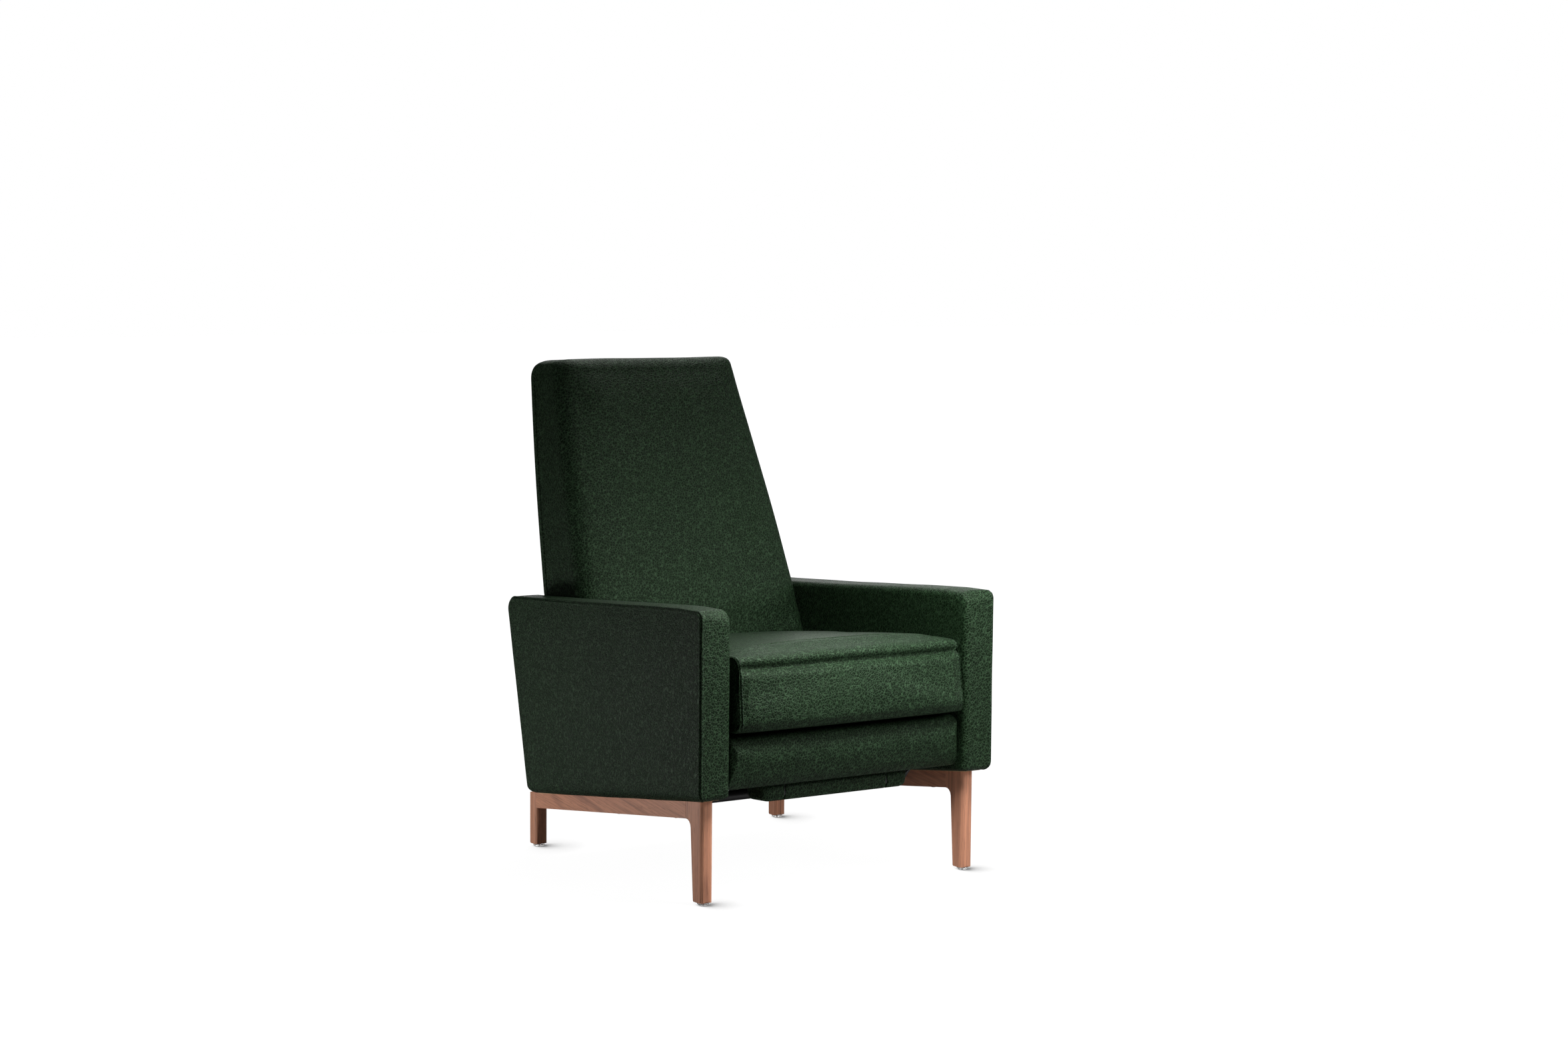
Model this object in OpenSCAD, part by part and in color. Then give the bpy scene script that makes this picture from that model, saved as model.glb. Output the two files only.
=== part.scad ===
// Push-back recliner with a fold-out footrest, in millimetres.
// Every piece is drawn from the arm fronts (y = 0) and the floor (z = 0), with the chair facing -Y.
// The module place() then moves the origin to the middle of the chair's footprint.

/* [Overall] */
// Width over both arms
chair_w = 724; // [660:1:800]
// Width of one arm
arm_w = 73; // [64:1:84]
// Height of the top of the back
back_top_z = 1051; // [980:1:1110]

/* [Arms] */
// Height of an arm's front lower corner
arm_low_z = 215; // [206:1:226]
// Height of an arm's front upper corner
arm_high_z = 590; // [570:1:620]
// How far an arm's top reaches back
arm_top_d = 777; // [755:1:800]
// How far an arm's bottom reaches back
arm_low_d = 683; // [666:1:706]
// Fall of an arm's top from front to rear
arm_top_fall = 48; // [30:1:60]
// Slope of an arm's bottom and of the rail under it
low_slope = 7.5; // [6:0.1:8.5]
// Rounding of an arm's inner edges
arm_edge_r = 12; // [6:1:16]
// Rounding of an arm's outer edges, which carry the seam
arm_seam_r = 4; // [2:1:8]
// Padding and leather over an arm's timber
arm_pad_t = 17; // [14:1:20]

/* [Legs] */
// Thickness of the legs and rails, across the chair
leg_t = 29; // [26:1:36]
// Inset of the rails from the outsides of the arms
leg_inset = 24; // [18:1:28]
// How much closer the rear legs stand to the middle than the front ones
leg_toe_in = 12; // [0:1:14]
// Depth of a rail
rail_h = 35; // [28:1:40]
// Depth of a front leg at its foot
front_foot_d = 30; // [26:1:36]
// Depth of a front leg under the rail
front_knee_d = 41; // [36:1:46]
// Depth of a rear leg
rear_leg_d = 29; // [24:1:34]
// Fillet between a front leg and its rail
knee_r = 18; // [12:1:22]
// Height of a glide
glide_h = 6; // [4:1:10]
// Radius of a glide
glide_r = 12; // [9:1:14]

/* [Seat] */
// Gap between the seat and each arm
seat_gap = 9; // [6:1:14]
// How far the seat's front stands forward of the arms
seat_out = 14; // [4:1:24]
// Height of the seat's front seam
seat_front_z = 497; // [480:1:515]
// Height of the seat where it meets the back
seat_rear_z = 447; // [435:1:460]
// Depth of the seat from the arm fronts to the back
seat_d = 548; // [530:1:556]
// Height of the seat's underside
seat_low_z = 345; // [343:1:356]
// Crown of the seat over its middle
seat_crown = 12; // [4:1:18]
// Thickness of the seat's timber
seat_wood_t = 22; // [18:1:26]
// Height of the seat's timber
seat_wood_h = 50; // [40:1:56]

/* [Back] */
// Gap between the back and each arm
back_gap = 7; // [5:1:12]
// How much narrower each side of the back is at its top
back_taper = 50; // [20:1:60]
// Lean of the back's rear face
rear_lean = 16.6; // [14:0.1:19]
// Lean of the back's front face
front_lean = 21; // [19:0.1:23]
// Distance from the seat's rear edge to the back's rear face, at the height of the arms
back_reach = 217; // [210:1:227]
// Thickness of the back at the height of the arms
back_t = 171; // [160:1:180]
// Height of the back's lower edge
back_low_z = 226; // [215:1:240]
// Crown of the back's front face
back_crown = 8; // [2:1:14]
// Angle that the back reclines
recline = 32; // [20:1:34]

/* [Footrest] */
// Height of the footrest pad
pad_h = 107; // [96:1:110]
// Gap between the seat and the footrest pad
pad_gap = 10; // [8:1:13]
// Thickness of the footrest pad
pad_t = 46; // [40:1:48]
// Thickness of the footrest board
board_t = 14; // [10:1:14]
// Half width of the flip-out pad
flip_half_w = 180; // [150:1:186]
// Thickness of the flip-out pad with its board
flip_t = 50; // [40:1:54]
// How far the flip-out pad hangs below the footrest pad
flip_drop = 42; // [34:1:46]
// Height of the flip-out pad
flip_h = 110; // [96:1:112]
// Length of a footrest link between its end pivots
link_l = 205; // [190:1:208]
// Angle that the footrest links swing
footrest_swing = 90; // [70:1:90]

/* [Steel] */
// Thickness of the steel plates and links
plate_t = 4; // [3:0.1:4.2]
// Gap between neighbouring plates
plate_gap = 3.2; // [3:0.1:3.4]
// Half width of a link
link_r = 9; // [8:0.5:10]
// Radius of a pivot pin
pin_r = 4; // [3:0.5:4.5]
// Radius of a pin's head
pin_head_r = 7; // [5.5:0.5:7.5]
// Radius of the cross tubes
tube_r = 11; // [8:1:13]
// Length of a seat carrier link between its pivots
carrier_l = 55; // [45:1:60]
// Angle by which a carrier link leans back at rest
carrier_lean = 25; // [15:1:28]

/* [Hidden] */
$fn = 40;

// clearance between pieces that lie against each other
seat_c = 0.3;
// gap between two pieces of one body that butt together
butt_c = 0.05;
// radial clearance of a pin in its hole
pin_c = 0.08;
// thickness of a pin's head, and how far a cut runs past what it cuts
head_t = 2;
past = 1;
// longer than anything in the chair
far = 1000;
arm_out_x = chair_w / 2;
arm_in_x = arm_out_x - arm_w;
// points on each rounded corner of an outline
corner_n = 4;

// colours
leather = [0.11, 0.17, 0.12];
walnut = [0.52, 0.34, 0.24];
pine = [0.80, 0.68, 0.48];
steel = [0.16, 0.16, 0.17];
zinc = [0.62, 0.63, 0.65];
clear = [0.85, 0.86, 0.86];
cloth = [0.08, 0.08, 0.08];

// heights of the arm's bottom line and the rail's bottom line at depth y
function arm_bottom(y) = arm_low_z - y * tan(low_slope);
function rail_bottom(y) = arm_bottom(y) - rail_h / cos(low_slope);

// faces of the back at height z, and the back's half width there
back_ref_z = seat_rear_z + 101;
back_rear_y = seat_d + back_reach;
back_swell = 4;
function back_rear(z) = back_rear_y + (z - back_ref_z) * tan(rear_lean);
function back_front(z) = back_rear_y - back_t + (z - back_ref_z) * tan(front_lean);
back_half_w = arm_in_x - back_gap;
function back_half(z) =
    let (t = max(0, z - back_ref_z) / (back_top_z - back_ref_z))
    back_half_w - back_taper * t + back_swell * sin(180 * min(1, t));

// outline helpers: points are [y, z], counter-clockwise seen from +X
function unit(v) = v / norm(v);
// how much of b the value a makes up, from 0 to 1
function part_of(a, b) = max(0, min(1, a / b));
function corner_arc(a, b, c, r, n) =
    let (
        u = unit(a - b),
        w = unit(c - b),
        half = acos(max(-1, min(1, u * w))) / 2,
        o = b + unit(u + w) * (r / sin(half)),
        p = b + u * (r / tan(half)) - o,
        q = b + w * (r / tan(half)) - o,
        start = atan2(p[1], p[0]),
        turn = (atan2(q[1], q[0]) - start + 540) % 360 - 180
    )
    [for (i = [0:n]) o + r * [cos(start + turn * i / n), sin(start + turn * i / n)]];
// an outline with rounded corners; parts[i] splits the straight run after corner i
function rounded(pts, radii, parts = []) =
    let (
        k = len(pts),
        arcs = [for (i = [0:k - 1])
            corner_arc(pts[(i + k - 1) % k], pts[i], pts[(i + 1) % k], radii[i], corner_n)]
    )
    [for (i = [0:k - 1]) each concat(arcs[i], run(arcs[i][corner_n], arcs[(i + 1) % k][0], parts[i]))];
function run(a, b, n) = n == undef ? [] : [for (j = [1:1:n - 1]) a + (b - a) * j / n];

// corner b of an outline, after its edges ab and bc move inwards by e1 and e2
function inset_corner(a, b, c, e1, e2) =
    let (
        u = unit(b - a),
        w = unit(c - b),
        nu = [-u[1], u[0]],
        nw = [-w[1], w[0]]
    )
    b + e1 * nu + u * ((e2 - e1 * (nu * nw)) / (nw * u));
// an outline whose edge i, from point i to the next, moves inwards by e[i]
function inset(pts, e) =
    let (k = len(pts))
    [for (i = [0:k - 1])
        inset_corner(pts[(i + k - 1) % k], pts[i], pts[(i + 1) % k], e[(i + k - 1) % k], e[i])];

// a prism of an outline in the side view, from x0 to x1
module side_prism(pts, x0, x1) {
    translate([x0, 0, 0]) rotate([90, 0, 90]) linear_extrude(x1 - x0) polygon(pts);
}
// a cylinder along X from x0 to x1 through p = [y, z]
module rod(p, r, x0, x1) {
    translate([x0, p[0], p[1]]) rotate([0, 90, 0]) cylinder(r = r, h = x1 - x0);
}
// a box from its lowest to its highest corner
module slab(low, high) {
    translate(low) cube(high - low);
}
// a piece and its mirror image on the other side of the chair
module both_sides() {
    children();
    mirror([1, 0, 0]) children();
}
module left_side() {
    mirror([1, 0, 0]) children();
}
module place() {
    translate([0, -centre_y, 0]) children();
}

// skin through rings of equal point counts, closed by a fan at each end
function mean(ring) = [for (k = [0:2]) [for (p = ring) p[k]] * [for (p = ring) 1] / len(ring)];
module loft(rings) {
    m = len(rings[0]);
    k = len(rings);
    points = [for (ring = rings) each ring, mean(rings[0]), mean(rings[k - 1])];
    faces = [
        for (i = [0:k - 2]) for (j = [0:m - 1])
            each [
                [i * m + j, (i + 1) * m + (j + 1) % m, i * m + (j + 1) % m],
                [i * m + j, (i + 1) * m + j, (i + 1) * m + (j + 1) % m]
            ],
        for (j = [0:m - 1]) [k * m, j, (j + 1) % m],
        for (j = [0:m - 1]) [k * m + 1, (k - 1) * m + (j + 1) % m, (k - 1) * m + j]
    ];
    polyhedron(points, faces);
}
// steps of an elliptic edge: fractions of the edge's width and depth still to go
edge_n = 3;
edge_steps = [for (i = [0:edge_n]) let (a = 90 * i / edge_n) [1 - cos(a), 1 - sin(a)]];
// across a pad from -1 to 1: the edge step, which side it is on, and the flat middle
function stations(middle) = concat(
    [for (s = edge_steps) [-1, s[0], s[1]]],
    [for (t = middle) [t, 0, 0]],
    [for (i = [edge_n:-1:0]) [1, edge_steps[i][0], edge_steps[i][1]]]
);

// Arms

arm_outline = [
    [0, arm_low_z],
    [arm_low_d, arm_bottom(arm_low_d)],
    [arm_top_d, arm_high_z - arm_top_fall],
    [0, arm_high_z]
];
arm_corner_r = [8, 20, 28, 12];
arm_crown = 4;
function arm_ring(x, e, crown) =
    let (pts = inset(arm_outline, [e * 0.6, e, e, e]))
    [for (p = rounded(pts, [for (r = arm_corner_r) max(3, r - e)]))
        let (rise = max(0, (p[1] - arm_low_z) / (arm_high_z - arm_low_z)))
        [x, p[0], p[1] + crown * rise * (1 - 0.8 * p[0] / arm_top_d)]];
arm_core_outline = inset(arm_outline, [0, arm_pad_t, arm_pad_t, arm_pad_t]);
arm_core_x0 = arm_in_x + arm_pad_t;
arm_core_x1 = arm_out_x - arm_pad_t;

module arm_core_form(grow, drop) {
    pts = inset(arm_core_outline, [-drop, -grow, -grow, -grow]);
    side_prism(pts, arm_core_x0 - grow, arm_core_x1 + grow);
}
module arm_cover_right() {
    mid = (arm_in_x + arm_out_x) / 2;
    half = arm_w / 2;
    place() color(leather) difference() {
        loft([for (s = stations([-0.4, 0.4]))
            let (
                r = s[0] < 0 ? arm_edge_r : arm_seam_r,
                u = abs(s[0]) < 1 ? s[0] * (half - arm_edge_r) : s[0] * (half - r * s[1])
            )
            arm_ring(mid + u, r * s[2], arm_crown * (1 - (u / half) * (u / half)))]);
        arm_core_form(seat_c, 20);
        base_bolt_holes(bolt_r + 0.5);
    }
}
module arm_cover_left() {
    left_side() arm_cover_right();
}
module arm_panel_right() {
    place() color(pine) difference() {
        arm_core_form(0, 0);
        base_bolt_holes(bolt_r + pin_c);
        for (y = rail_bolt_ys) rail_bolt_axis(y) cylinder(r = bolt_r + pin_c, h = rail_bolt_l + past);
    }
}
module arm_panel_left() {
    left_side() arm_panel_right();
}

// Legs and rails

leg_x1 = arm_out_x - leg_inset;
leg_x0 = leg_x1 - leg_t;
front_leg_y = 30;
rear_leg_past_arm = 53;
rear_leg_y1 = arm_low_d + rear_leg_past_arm;
rear_leg_y0 = rear_leg_y1 - rear_leg_d;
knee_y = front_leg_y + front_knee_d;
joint_y = knee_y + knee_r;
rail_end_y = rear_leg_y0 + 3;
front_glide = [(leg_x0 + leg_x1) / 2, front_leg_y + front_foot_d / 2];
rear_glide = [(leg_x0 + leg_x1) / 2 - leg_toe_in, (rear_leg_y0 + rear_leg_y1) / 2];
leg_round_r = 9;
edge_break = 2;
nail_r = 1.6;
nail_l = 14;

// moves a piece inwards by the toe-in that the rail has reached at depth y
function toe(y) = leg_toe_in * (y - joint_y) / (rail_end_y - joint_y);

// column whose long edges are rounded, seen from above
module leg_column(x0, x1, y0, y1) {
    linear_extrude(arm_low_z) polygon(rounded(
        [[x0, y0], [x1, y0], [x1, y1], [x0, y1]],
        [leg_round_r, leg_round_r, edge_break, edge_break]
    ));
}
module glide_nail_hole(at) {
    translate([at[0], at[1], 0]) cylinder(r = nail_r + pin_c, h = glide_h + nail_l + past);
}
module front_leg_right() {
    place() color(walnut) difference() {
        intersection() {
            side_prism(rounded(
                [
                    [front_leg_y, glide_h],
                    [front_leg_y + front_foot_d, glide_h],
                    [knee_y, rail_bottom(knee_y)],
                    [joint_y, rail_bottom(joint_y)],
                    [joint_y, arm_bottom(joint_y) - seat_c],
                    [front_leg_y, arm_bottom(front_leg_y) - seat_c]
                ],
                [3, 3, knee_r - 2, 0.2, 0.2, 2]
            ), leg_x0, leg_x1);
            leg_column(leg_x0, leg_x1, front_leg_y, joint_y + 1);
        }
        glide_nail_hole(front_glide);
    }
}
module front_leg_left() {
    left_side() front_leg_right();
}
module rear_leg_right() {
    place() color(walnut) difference() {
        intersection() {
            side_prism(rounded(
                [
                    [rear_leg_y0 + 2, glide_h],
                    [rear_leg_y1 - 2, glide_h],
                    [rear_leg_y1, arm_bottom(rear_leg_y1) - seat_c],
                    [rail_end_y, arm_bottom(rail_end_y) - seat_c],
                    [rail_end_y, rail_bottom(rail_end_y)],
                    [rear_leg_y0, rail_bottom(rail_end_y) - 4]
                ],
                [3, 3, 4, 0.2, 0.2, 2]
            ), leg_x0 - leg_toe_in, leg_x1 - leg_toe_in);
            leg_column(leg_x0 - leg_toe_in, leg_x1 - leg_toe_in, rear_leg_y0, rear_leg_y1);
        }
        glide_nail_hole(rear_glide);
    }
}
module rear_leg_left() {
    left_side() rear_leg_right();
}
module side_rail_right() {
    y0 = joint_y + butt_c;
    y1 = rail_end_y - butt_c;
    place() color(walnut) difference() {
        intersection() {
            side_prism([
                [y0, rail_bottom(y0)],
                [y1, rail_bottom(y1)],
                [y1, arm_bottom(y1) - seat_c],
                [y0, arm_bottom(y0) - seat_c]
            ], leg_x0 - leg_toe_in, leg_x1);
            linear_extrude(arm_low_z) polygon([
                [leg_x0, y0],
                [leg_x1, y0],
                [leg_x1 - leg_toe_in, y1],
                [leg_x0 - leg_toe_in, y1]
            ]);
        }
        for (y = rail_bolt_ys) rail_bolt_axis(y)
            translate([0, 0, -rail_h]) cylinder(r = bolt_r + pin_c, h = 3 * rail_h);
    }
}
module side_rail_left() {
    left_side() side_rail_right();
}
foot_chamfer = 2.5;
module leg_glides() {
    place() color(clear) both_sides() for (at = [front_glide, rear_glide]) translate([at[0], at[1], 0]) {
        rotate_extrude() polygon([
            [0, 0], [glide_r - foot_chamfer, 0], [glide_r, foot_chamfer],
            [glide_r, glide_h - nail_r], [glide_r - nail_r, glide_h - butt_c], [nail_r, glide_h - butt_c],
            [nail_r, glide_h + nail_l - nail_r / 2], [0, glide_h + nail_l]
        ]);
    }
}
// rail bolts rise square to the rail's underside into the arm's timber
bolt_r = 3;
bolt_head_r = 6.5;
bolt_head_t = 2.4;
rail_bolt_l = rail_h + 25;
rail_bolt_ys = [146, 373];
module rail_bolt_axis(y) {
    translate([(leg_x0 + leg_x1) / 2 - toe(y), y, rail_bottom(y)]) rotate([-low_slope, 0, 0]) children();
}
module rail_bolts() {
    place() color(zinc) both_sides() for (y = rail_bolt_ys) rail_bolt_axis(y) {
        rotate_extrude() polygon([
            [0, -bolt_head_t - butt_c], [bolt_r, -bolt_head_t], [bolt_head_r, -bolt_head_t / 2],
            [bolt_head_r, -butt_c], [bolt_r, -butt_c], [bolt_r, rail_bolt_l - past], [0, rail_bolt_l]
        ]);
    }
}
stretcher_before_arm = 49;
stretcher_y = arm_low_d - stretcher_before_arm;
stretcher_t = 22;
stretcher_h = 50;
module rear_stretcher() {
    z0 = arm_bottom(stretcher_y) + 4;
    place() color(walnut) side_prism(rounded(
        [
            [stretcher_y, z0],
            [stretcher_y + stretcher_t, z0],
            [stretcher_y + stretcher_t, z0 + stretcher_h],
            [stretcher_y, z0 + stretcher_h]
        ],
        [3, 3, 3, 3]
    ), -arm_in_x + seat_c, arm_in_x - seat_c);
}

// Steel: plates stand side by side in layers, counted inwards from the arm

function layer_x(k) = arm_in_x - seat_c - plate_t - k * (plate_t + plate_gap);
base_layer = 0;
carrier_layer = 1;
seat_layer = 2;
swing_layer = 3;
brace_layer = 4;
outer_layer = 5;
bracket_layer = 6;

module plate(pts, k) {
    side_prism(pts, layer_x(k), layer_x(k) + plate_t);
}
module pin_hole(p, k, r = pin_r) {
    rod(p, r + pin_c, layer_x(k) - past, layer_x(k) + plate_t + past);
}
// pin through layers k_out to k_in, with a head beyond each
module pivot_pin(p, k_out, k_in) {
    inner = layer_x(k_in) - seat_c;
    outer = layer_x(k_out) + plate_t;
    rod(p, pin_head_r, inner - head_t, inner);
    rod(p, pin_r, inner - past, k_out == base_layer ? outer : outer + past);
    if (k_out != base_layer) rod(p, pin_head_r, outer + seat_c, outer + seat_c + head_t);
}
// straight link between two points, with a round end at each and holes at the listed points
module link(p, q, k, holes) {
    along = unit(q - p);
    side = [-along[1], along[0]] * link_r;
    difference() {
        union() {
            plate([p - side, q - side, q + side, p + side], k);
            rod(p, link_r, layer_x(k), layer_x(k) + plate_t);
            rod(q, link_r, layer_x(k), layer_x(k) + plate_t);
        }
        for (h = holes) pin_hole(h, k);
    }
}

// pivots of the seat carriage, [y, z]
carrier_base_z = 250;
front_carrier_y = 150;
rear_carrier_y = seat_d - 118;
carrier_up = carrier_l * [sin(carrier_lean), cos(carrier_lean)];
front_carrier_base = [front_carrier_y, carrier_base_z];
rear_carrier_base = [rear_carrier_y, carrier_base_z];
front_carrier_top = front_carrier_base + carrier_up;
rear_carrier_top = rear_carrier_base + carrier_up;
back_pivot = [seat_d + 18, seat_low_z - 15];
base_bolts = [for (y = [front_carrier_y + 55, rear_carrier_y - 55]) [y, carrier_base_z + 3]];
base_bolt_x1 = arm_core_x0 + 30;
module base_bolt_holes(r) {
    for (p = base_bolts) rod(p, r, arm_in_x - past, base_bolt_x1 + past);
}
module base_plate_right() {
    end = 24;
    y0 = front_carrier_y - end;
    y1 = rear_carrier_y + end;
    place() color(steel) difference() {
        plate(rounded(
            [
                [y0, carrier_base_z - 18], [y1, carrier_base_z - 18],
                [y1, carrier_base_z + 20], [y0, carrier_base_z + 20]
            ],
            [14, 14, 14, 14]
        ), base_layer);
        for (p = [front_carrier_base, rear_carrier_base]) pin_hole(p, base_layer);
        for (p = base_bolts) pin_hole(p, base_layer, bolt_r);
    }
}
module base_plate_left() {
    left_side() base_plate_right();
}
module base_plate_bolts() {
    place() color(zinc) both_sides() for (p = base_bolts) {
        rod(p, bolt_head_r, layer_x(base_layer) - seat_c - bolt_head_t, layer_x(base_layer) - seat_c);
        rod(p, bolt_r, layer_x(base_layer) - seat_c - past, base_bolt_x1);
    }
}
base_tube_dy = 175;
base_tube = [front_carrier_y + base_tube_dy, carrier_base_z + 2];
tube_wall = 2;
module base_cross_tube() {
    half = layer_x(base_layer) - seat_c;
    place() color(steel) difference() {
        rod(base_tube, tube_r, -half, half);
        rod(base_tube, tube_r - tube_wall, -half - past, half + past);
    }
}
module base_pivot_pins() {
    place() color(zinc) both_sides() for (p = [front_carrier_base, rear_carrier_base])
        pivot_pin(p, base_layer, carrier_layer);
}
module front_carrier_links() {
    place() color(steel) both_sides() link(
        front_carrier_base, front_carrier_top, carrier_layer, [front_carrier_base, front_carrier_top]
    );
}
module rear_carrier_links() {
    place() color(steel) both_sides() link(
        rear_carrier_base, rear_carrier_top, carrier_layer, [rear_carrier_base, rear_carrier_top]
    );
}

// pivots of the footrest linkage at rest
swing_rest = 42;
rear_link_root = [120, seat_low_z - 23];
front_link_root = rear_link_root + [-62, 0];
outer_rear = rear_link_root + link_l * [sin(swing_rest), -cos(swing_rest)];
outer_mid = outer_rear + (front_link_root - rear_link_root);
bracket_low = [pad_t + board_t + 42, seat_low_z - pad_gap - pad_h + 15];
bracket_step = [-30, 33];
bracket_high = bracket_low + bracket_step;
brace_root = outer_mid + bracket_step;

// Seat

seat_half = arm_in_x - seat_gap;
seat_plate_y0 = pad_t + 1;
module seat_plate_right() {
    low = rear_carrier_top[1] - 15;
    x1 = layer_x(seat_layer) + plate_t;
    place() color(steel) difference() {
        union() {
            plate(rounded(
                [
                    [seat_plate_y0, low + 10], [front_carrier_top[0], low], [rear_carrier_top[0], low],
                    [back_pivot[0] + 16, back_pivot[1] - 16], [back_pivot[0] + 16, back_pivot[1] + 13],
                    [rear_carrier_top[0] + 60, back_pivot[1] + 13],
                    [rear_carrier_top[0] + 50, seat_low_z - seat_c], [seat_plate_y0, seat_low_z - seat_c]
                ],
                [8, 20, 20, 13, 13, 3, 2, 3]
            ), seat_layer);
            slab(
                [seat_wood_x - seat_wood_t, seat_plate_y0 + 6, seat_low_z - seat_c - flange_t],
                [x1, rear_carrier_top[0] + 46, seat_low_z - seat_c]
            );
        }
        for (p = [rear_link_root, front_link_root, front_carrier_top, rear_carrier_top, back_pivot])
            pin_hole(p, seat_layer);
        for (y = seat_screw_ys) translate([seat_screw_x, y, 0]) cylinder(r = wood_screw_r + pin_c, h = far);
    }
}
module seat_plate_left() {
    left_side() seat_plate_right();
}
flange_t = 3;
wood_screw_r = 2.5;
wood_screw_l = 29;
seat_wall = 15;
seat_wood_x = seat_half - seat_wall - seat_c;
seat_wood_y0 = 6;
seat_wood_y1 = seat_d - 10;
seat_screw_x = seat_wood_x - seat_wood_t / 2;
seat_screw_ys = [90, seat_d / 2, rear_carrier_y + 10];
module wood_screw() {
    rotate_extrude() polygon([
        [0, -wood_screw_r], [wood_screw_r, -0.9 * wood_screw_r], [2 * wood_screw_r, 0], [wood_screw_r, 0],
        [wood_screw_r, wood_screw_l - wood_screw_r], [0, wood_screw_l]
    ]);
}
module seat_plate_screws() {
    z = seat_low_z - seat_c - flange_t - 2 * butt_c;
    place() color(zinc) both_sides() for (y = seat_screw_ys) translate([seat_screw_x, y, z]) wood_screw();
}
module seat_pivot_pins() {
    place() color(zinc) both_sides() {
        for (p = [rear_link_root, front_link_root, back_pivot]) pivot_pin(p, seat_layer, swing_layer);
        for (p = [front_carrier_top, rear_carrier_top]) pivot_pin(p, carrier_layer, seat_layer);
    }
}
module seat_side_rails() {
    place() color(pine) both_sides() difference() {
        slab(
            [seat_wood_x - seat_wood_t, seat_wood_y0, seat_low_z],
            [seat_wood_x, seat_wood_y1, seat_low_z + seat_wood_h]
        );
        for (y = seat_screw_ys) translate([seat_screw_x, y, seat_low_z - past])
            cylinder(r = wood_screw_r + pin_c, h = wood_screw_l);
    }
}
module seat_cross_rails() {
    x = seat_wood_x - seat_wood_t - butt_c;
    for (y = [seat_wood_y0, seat_wood_y1 - seat_wood_t])
        place() color(pine) slab([-x, y, seat_low_z], [x, y + seat_wood_t, seat_low_z + seat_wood_h]);
}
// flat serpentine wire of half width r, w wide, from 0 to l, as an outline for one extrusion
function wave(t, w, pitch) = [w * sin(360 * t / pitch), t];
function serpentine(l, w, pitch, r) =
    let (n = ceil(l / pitch * 8))
    concat(
        [for (i = [0:n]) wave(l * i / n, w, pitch) + wire_side(l * i / n, w, pitch, r)],
        [for (i = [n:-1:0]) wave(l * i / n, w, pitch) - wire_side(l * i / n, w, pitch, r)]
    );
function wire_side(t, w, pitch, r) =
    let (d = unit([w * cos(360 * t / pitch) * 2 * PI / pitch, 1])) r * [d[1], -d[0]];
spring_pitch = 52;
spring_w = 20;
spring_wire = 1.7;
spring_end = 3;
module seat_springs() {
    l = seat_wood_y1 - seat_wood_y0 - 2 * spring_end;
    step = seat_wood_x / 3;
    place() color(zinc) for (i = [-2:2])
        translate([i * step, seat_wood_y0 + spring_end, seat_low_z + seat_wood_h + seat_c])
            linear_extrude(2 * spring_wire) polygon(serpentine(l, spring_w, spring_pitch, spring_wire));
}
dust_cover_t = 1.2;
module seat_dust_cover() {
    inset = 2;
    x = seat_wood_x - seat_wood_t - inset;
    place() color(cloth) slab(
        [-x, seat_wood_y0 + inset, seat_low_z - seat_c - dust_cover_t],
        [x, seat_wood_y1 - inset, seat_low_z - seat_c]
    );
}
// the seat's front leans forward by seat_lip to its lower edge, and bows by seat_bow in the middle
seat_lip = 8;
seat_bow = 3;
seat_brow_y = 70;
seat_outline = [
    [-seat_out - seat_lip, seat_low_z],
    [seat_d, seat_low_z],
    [seat_d, seat_rear_z],
    [seat_brow_y, seat_front_z - 2],
    [-seat_out, seat_front_z]
];
seat_corner_r = [12, 6, 26, 60, 20];
seat_parts = [4, 2, 3, 1, 2];
// insets of the seat's bottom, rear, top, front lip and front at a side edge
seat_edge_e = [6, 8, 17, 15, 12];
seat_edge_w = 20;
function seat_ring(x, f) =
    let (
        u = x / seat_half,
        crown = seat_crown * (1 - u * u),
        pts = inset(seat_outline, [for (e = seat_edge_e) e * f])
    )
    [for (p = rounded(pts, [for (r = seat_corner_r) max(3, r * (1 - 0.4 * f))], seat_parts))
        let (
            lift = part_of(p[1] - seat_low_z, 90) * part_of(p[0] + seat_out, seat_brow_y),
            bow = seat_bow * (1 - u * u) * part_of(40 - p[0], 40)
        )
        [x + draw_in(x, p), p[0] - bow, p[1] + crown * lift]];
// the sides pull in a little between the corners
function draw_in(x, p) =
    let (
        a = part_of(p[0] + seat_out, seat_d + seat_out),
        b = part_of(p[1] - seat_low_z, seat_front_z - seat_low_z)
    )
    -seat_bow * sin(180 * a) * sin(180 * b) * pow(abs(x) / seat_half, 4) * sign(x);
module seat_cushion() {
    w = seat_wood_x + seat_c;
    place() color(leather) difference() {
        loft([for (s = stations([-0.75, -0.4, 0, 0.4, 0.75]))
            abs(s[0]) < 1
                ? seat_ring(s[0] * seat_half, 0)
                : seat_ring(s[0] * (seat_half - seat_edge_w * s[1]), s[2])]);
        slab(
            [-w, seat_wood_y0 - seat_c, 0],
            [w, seat_wood_y1 + seat_c, seat_low_z + seat_wood_h + 2 * spring_wire + 2 * seat_c]
        );
    }
}

// Back

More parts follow.
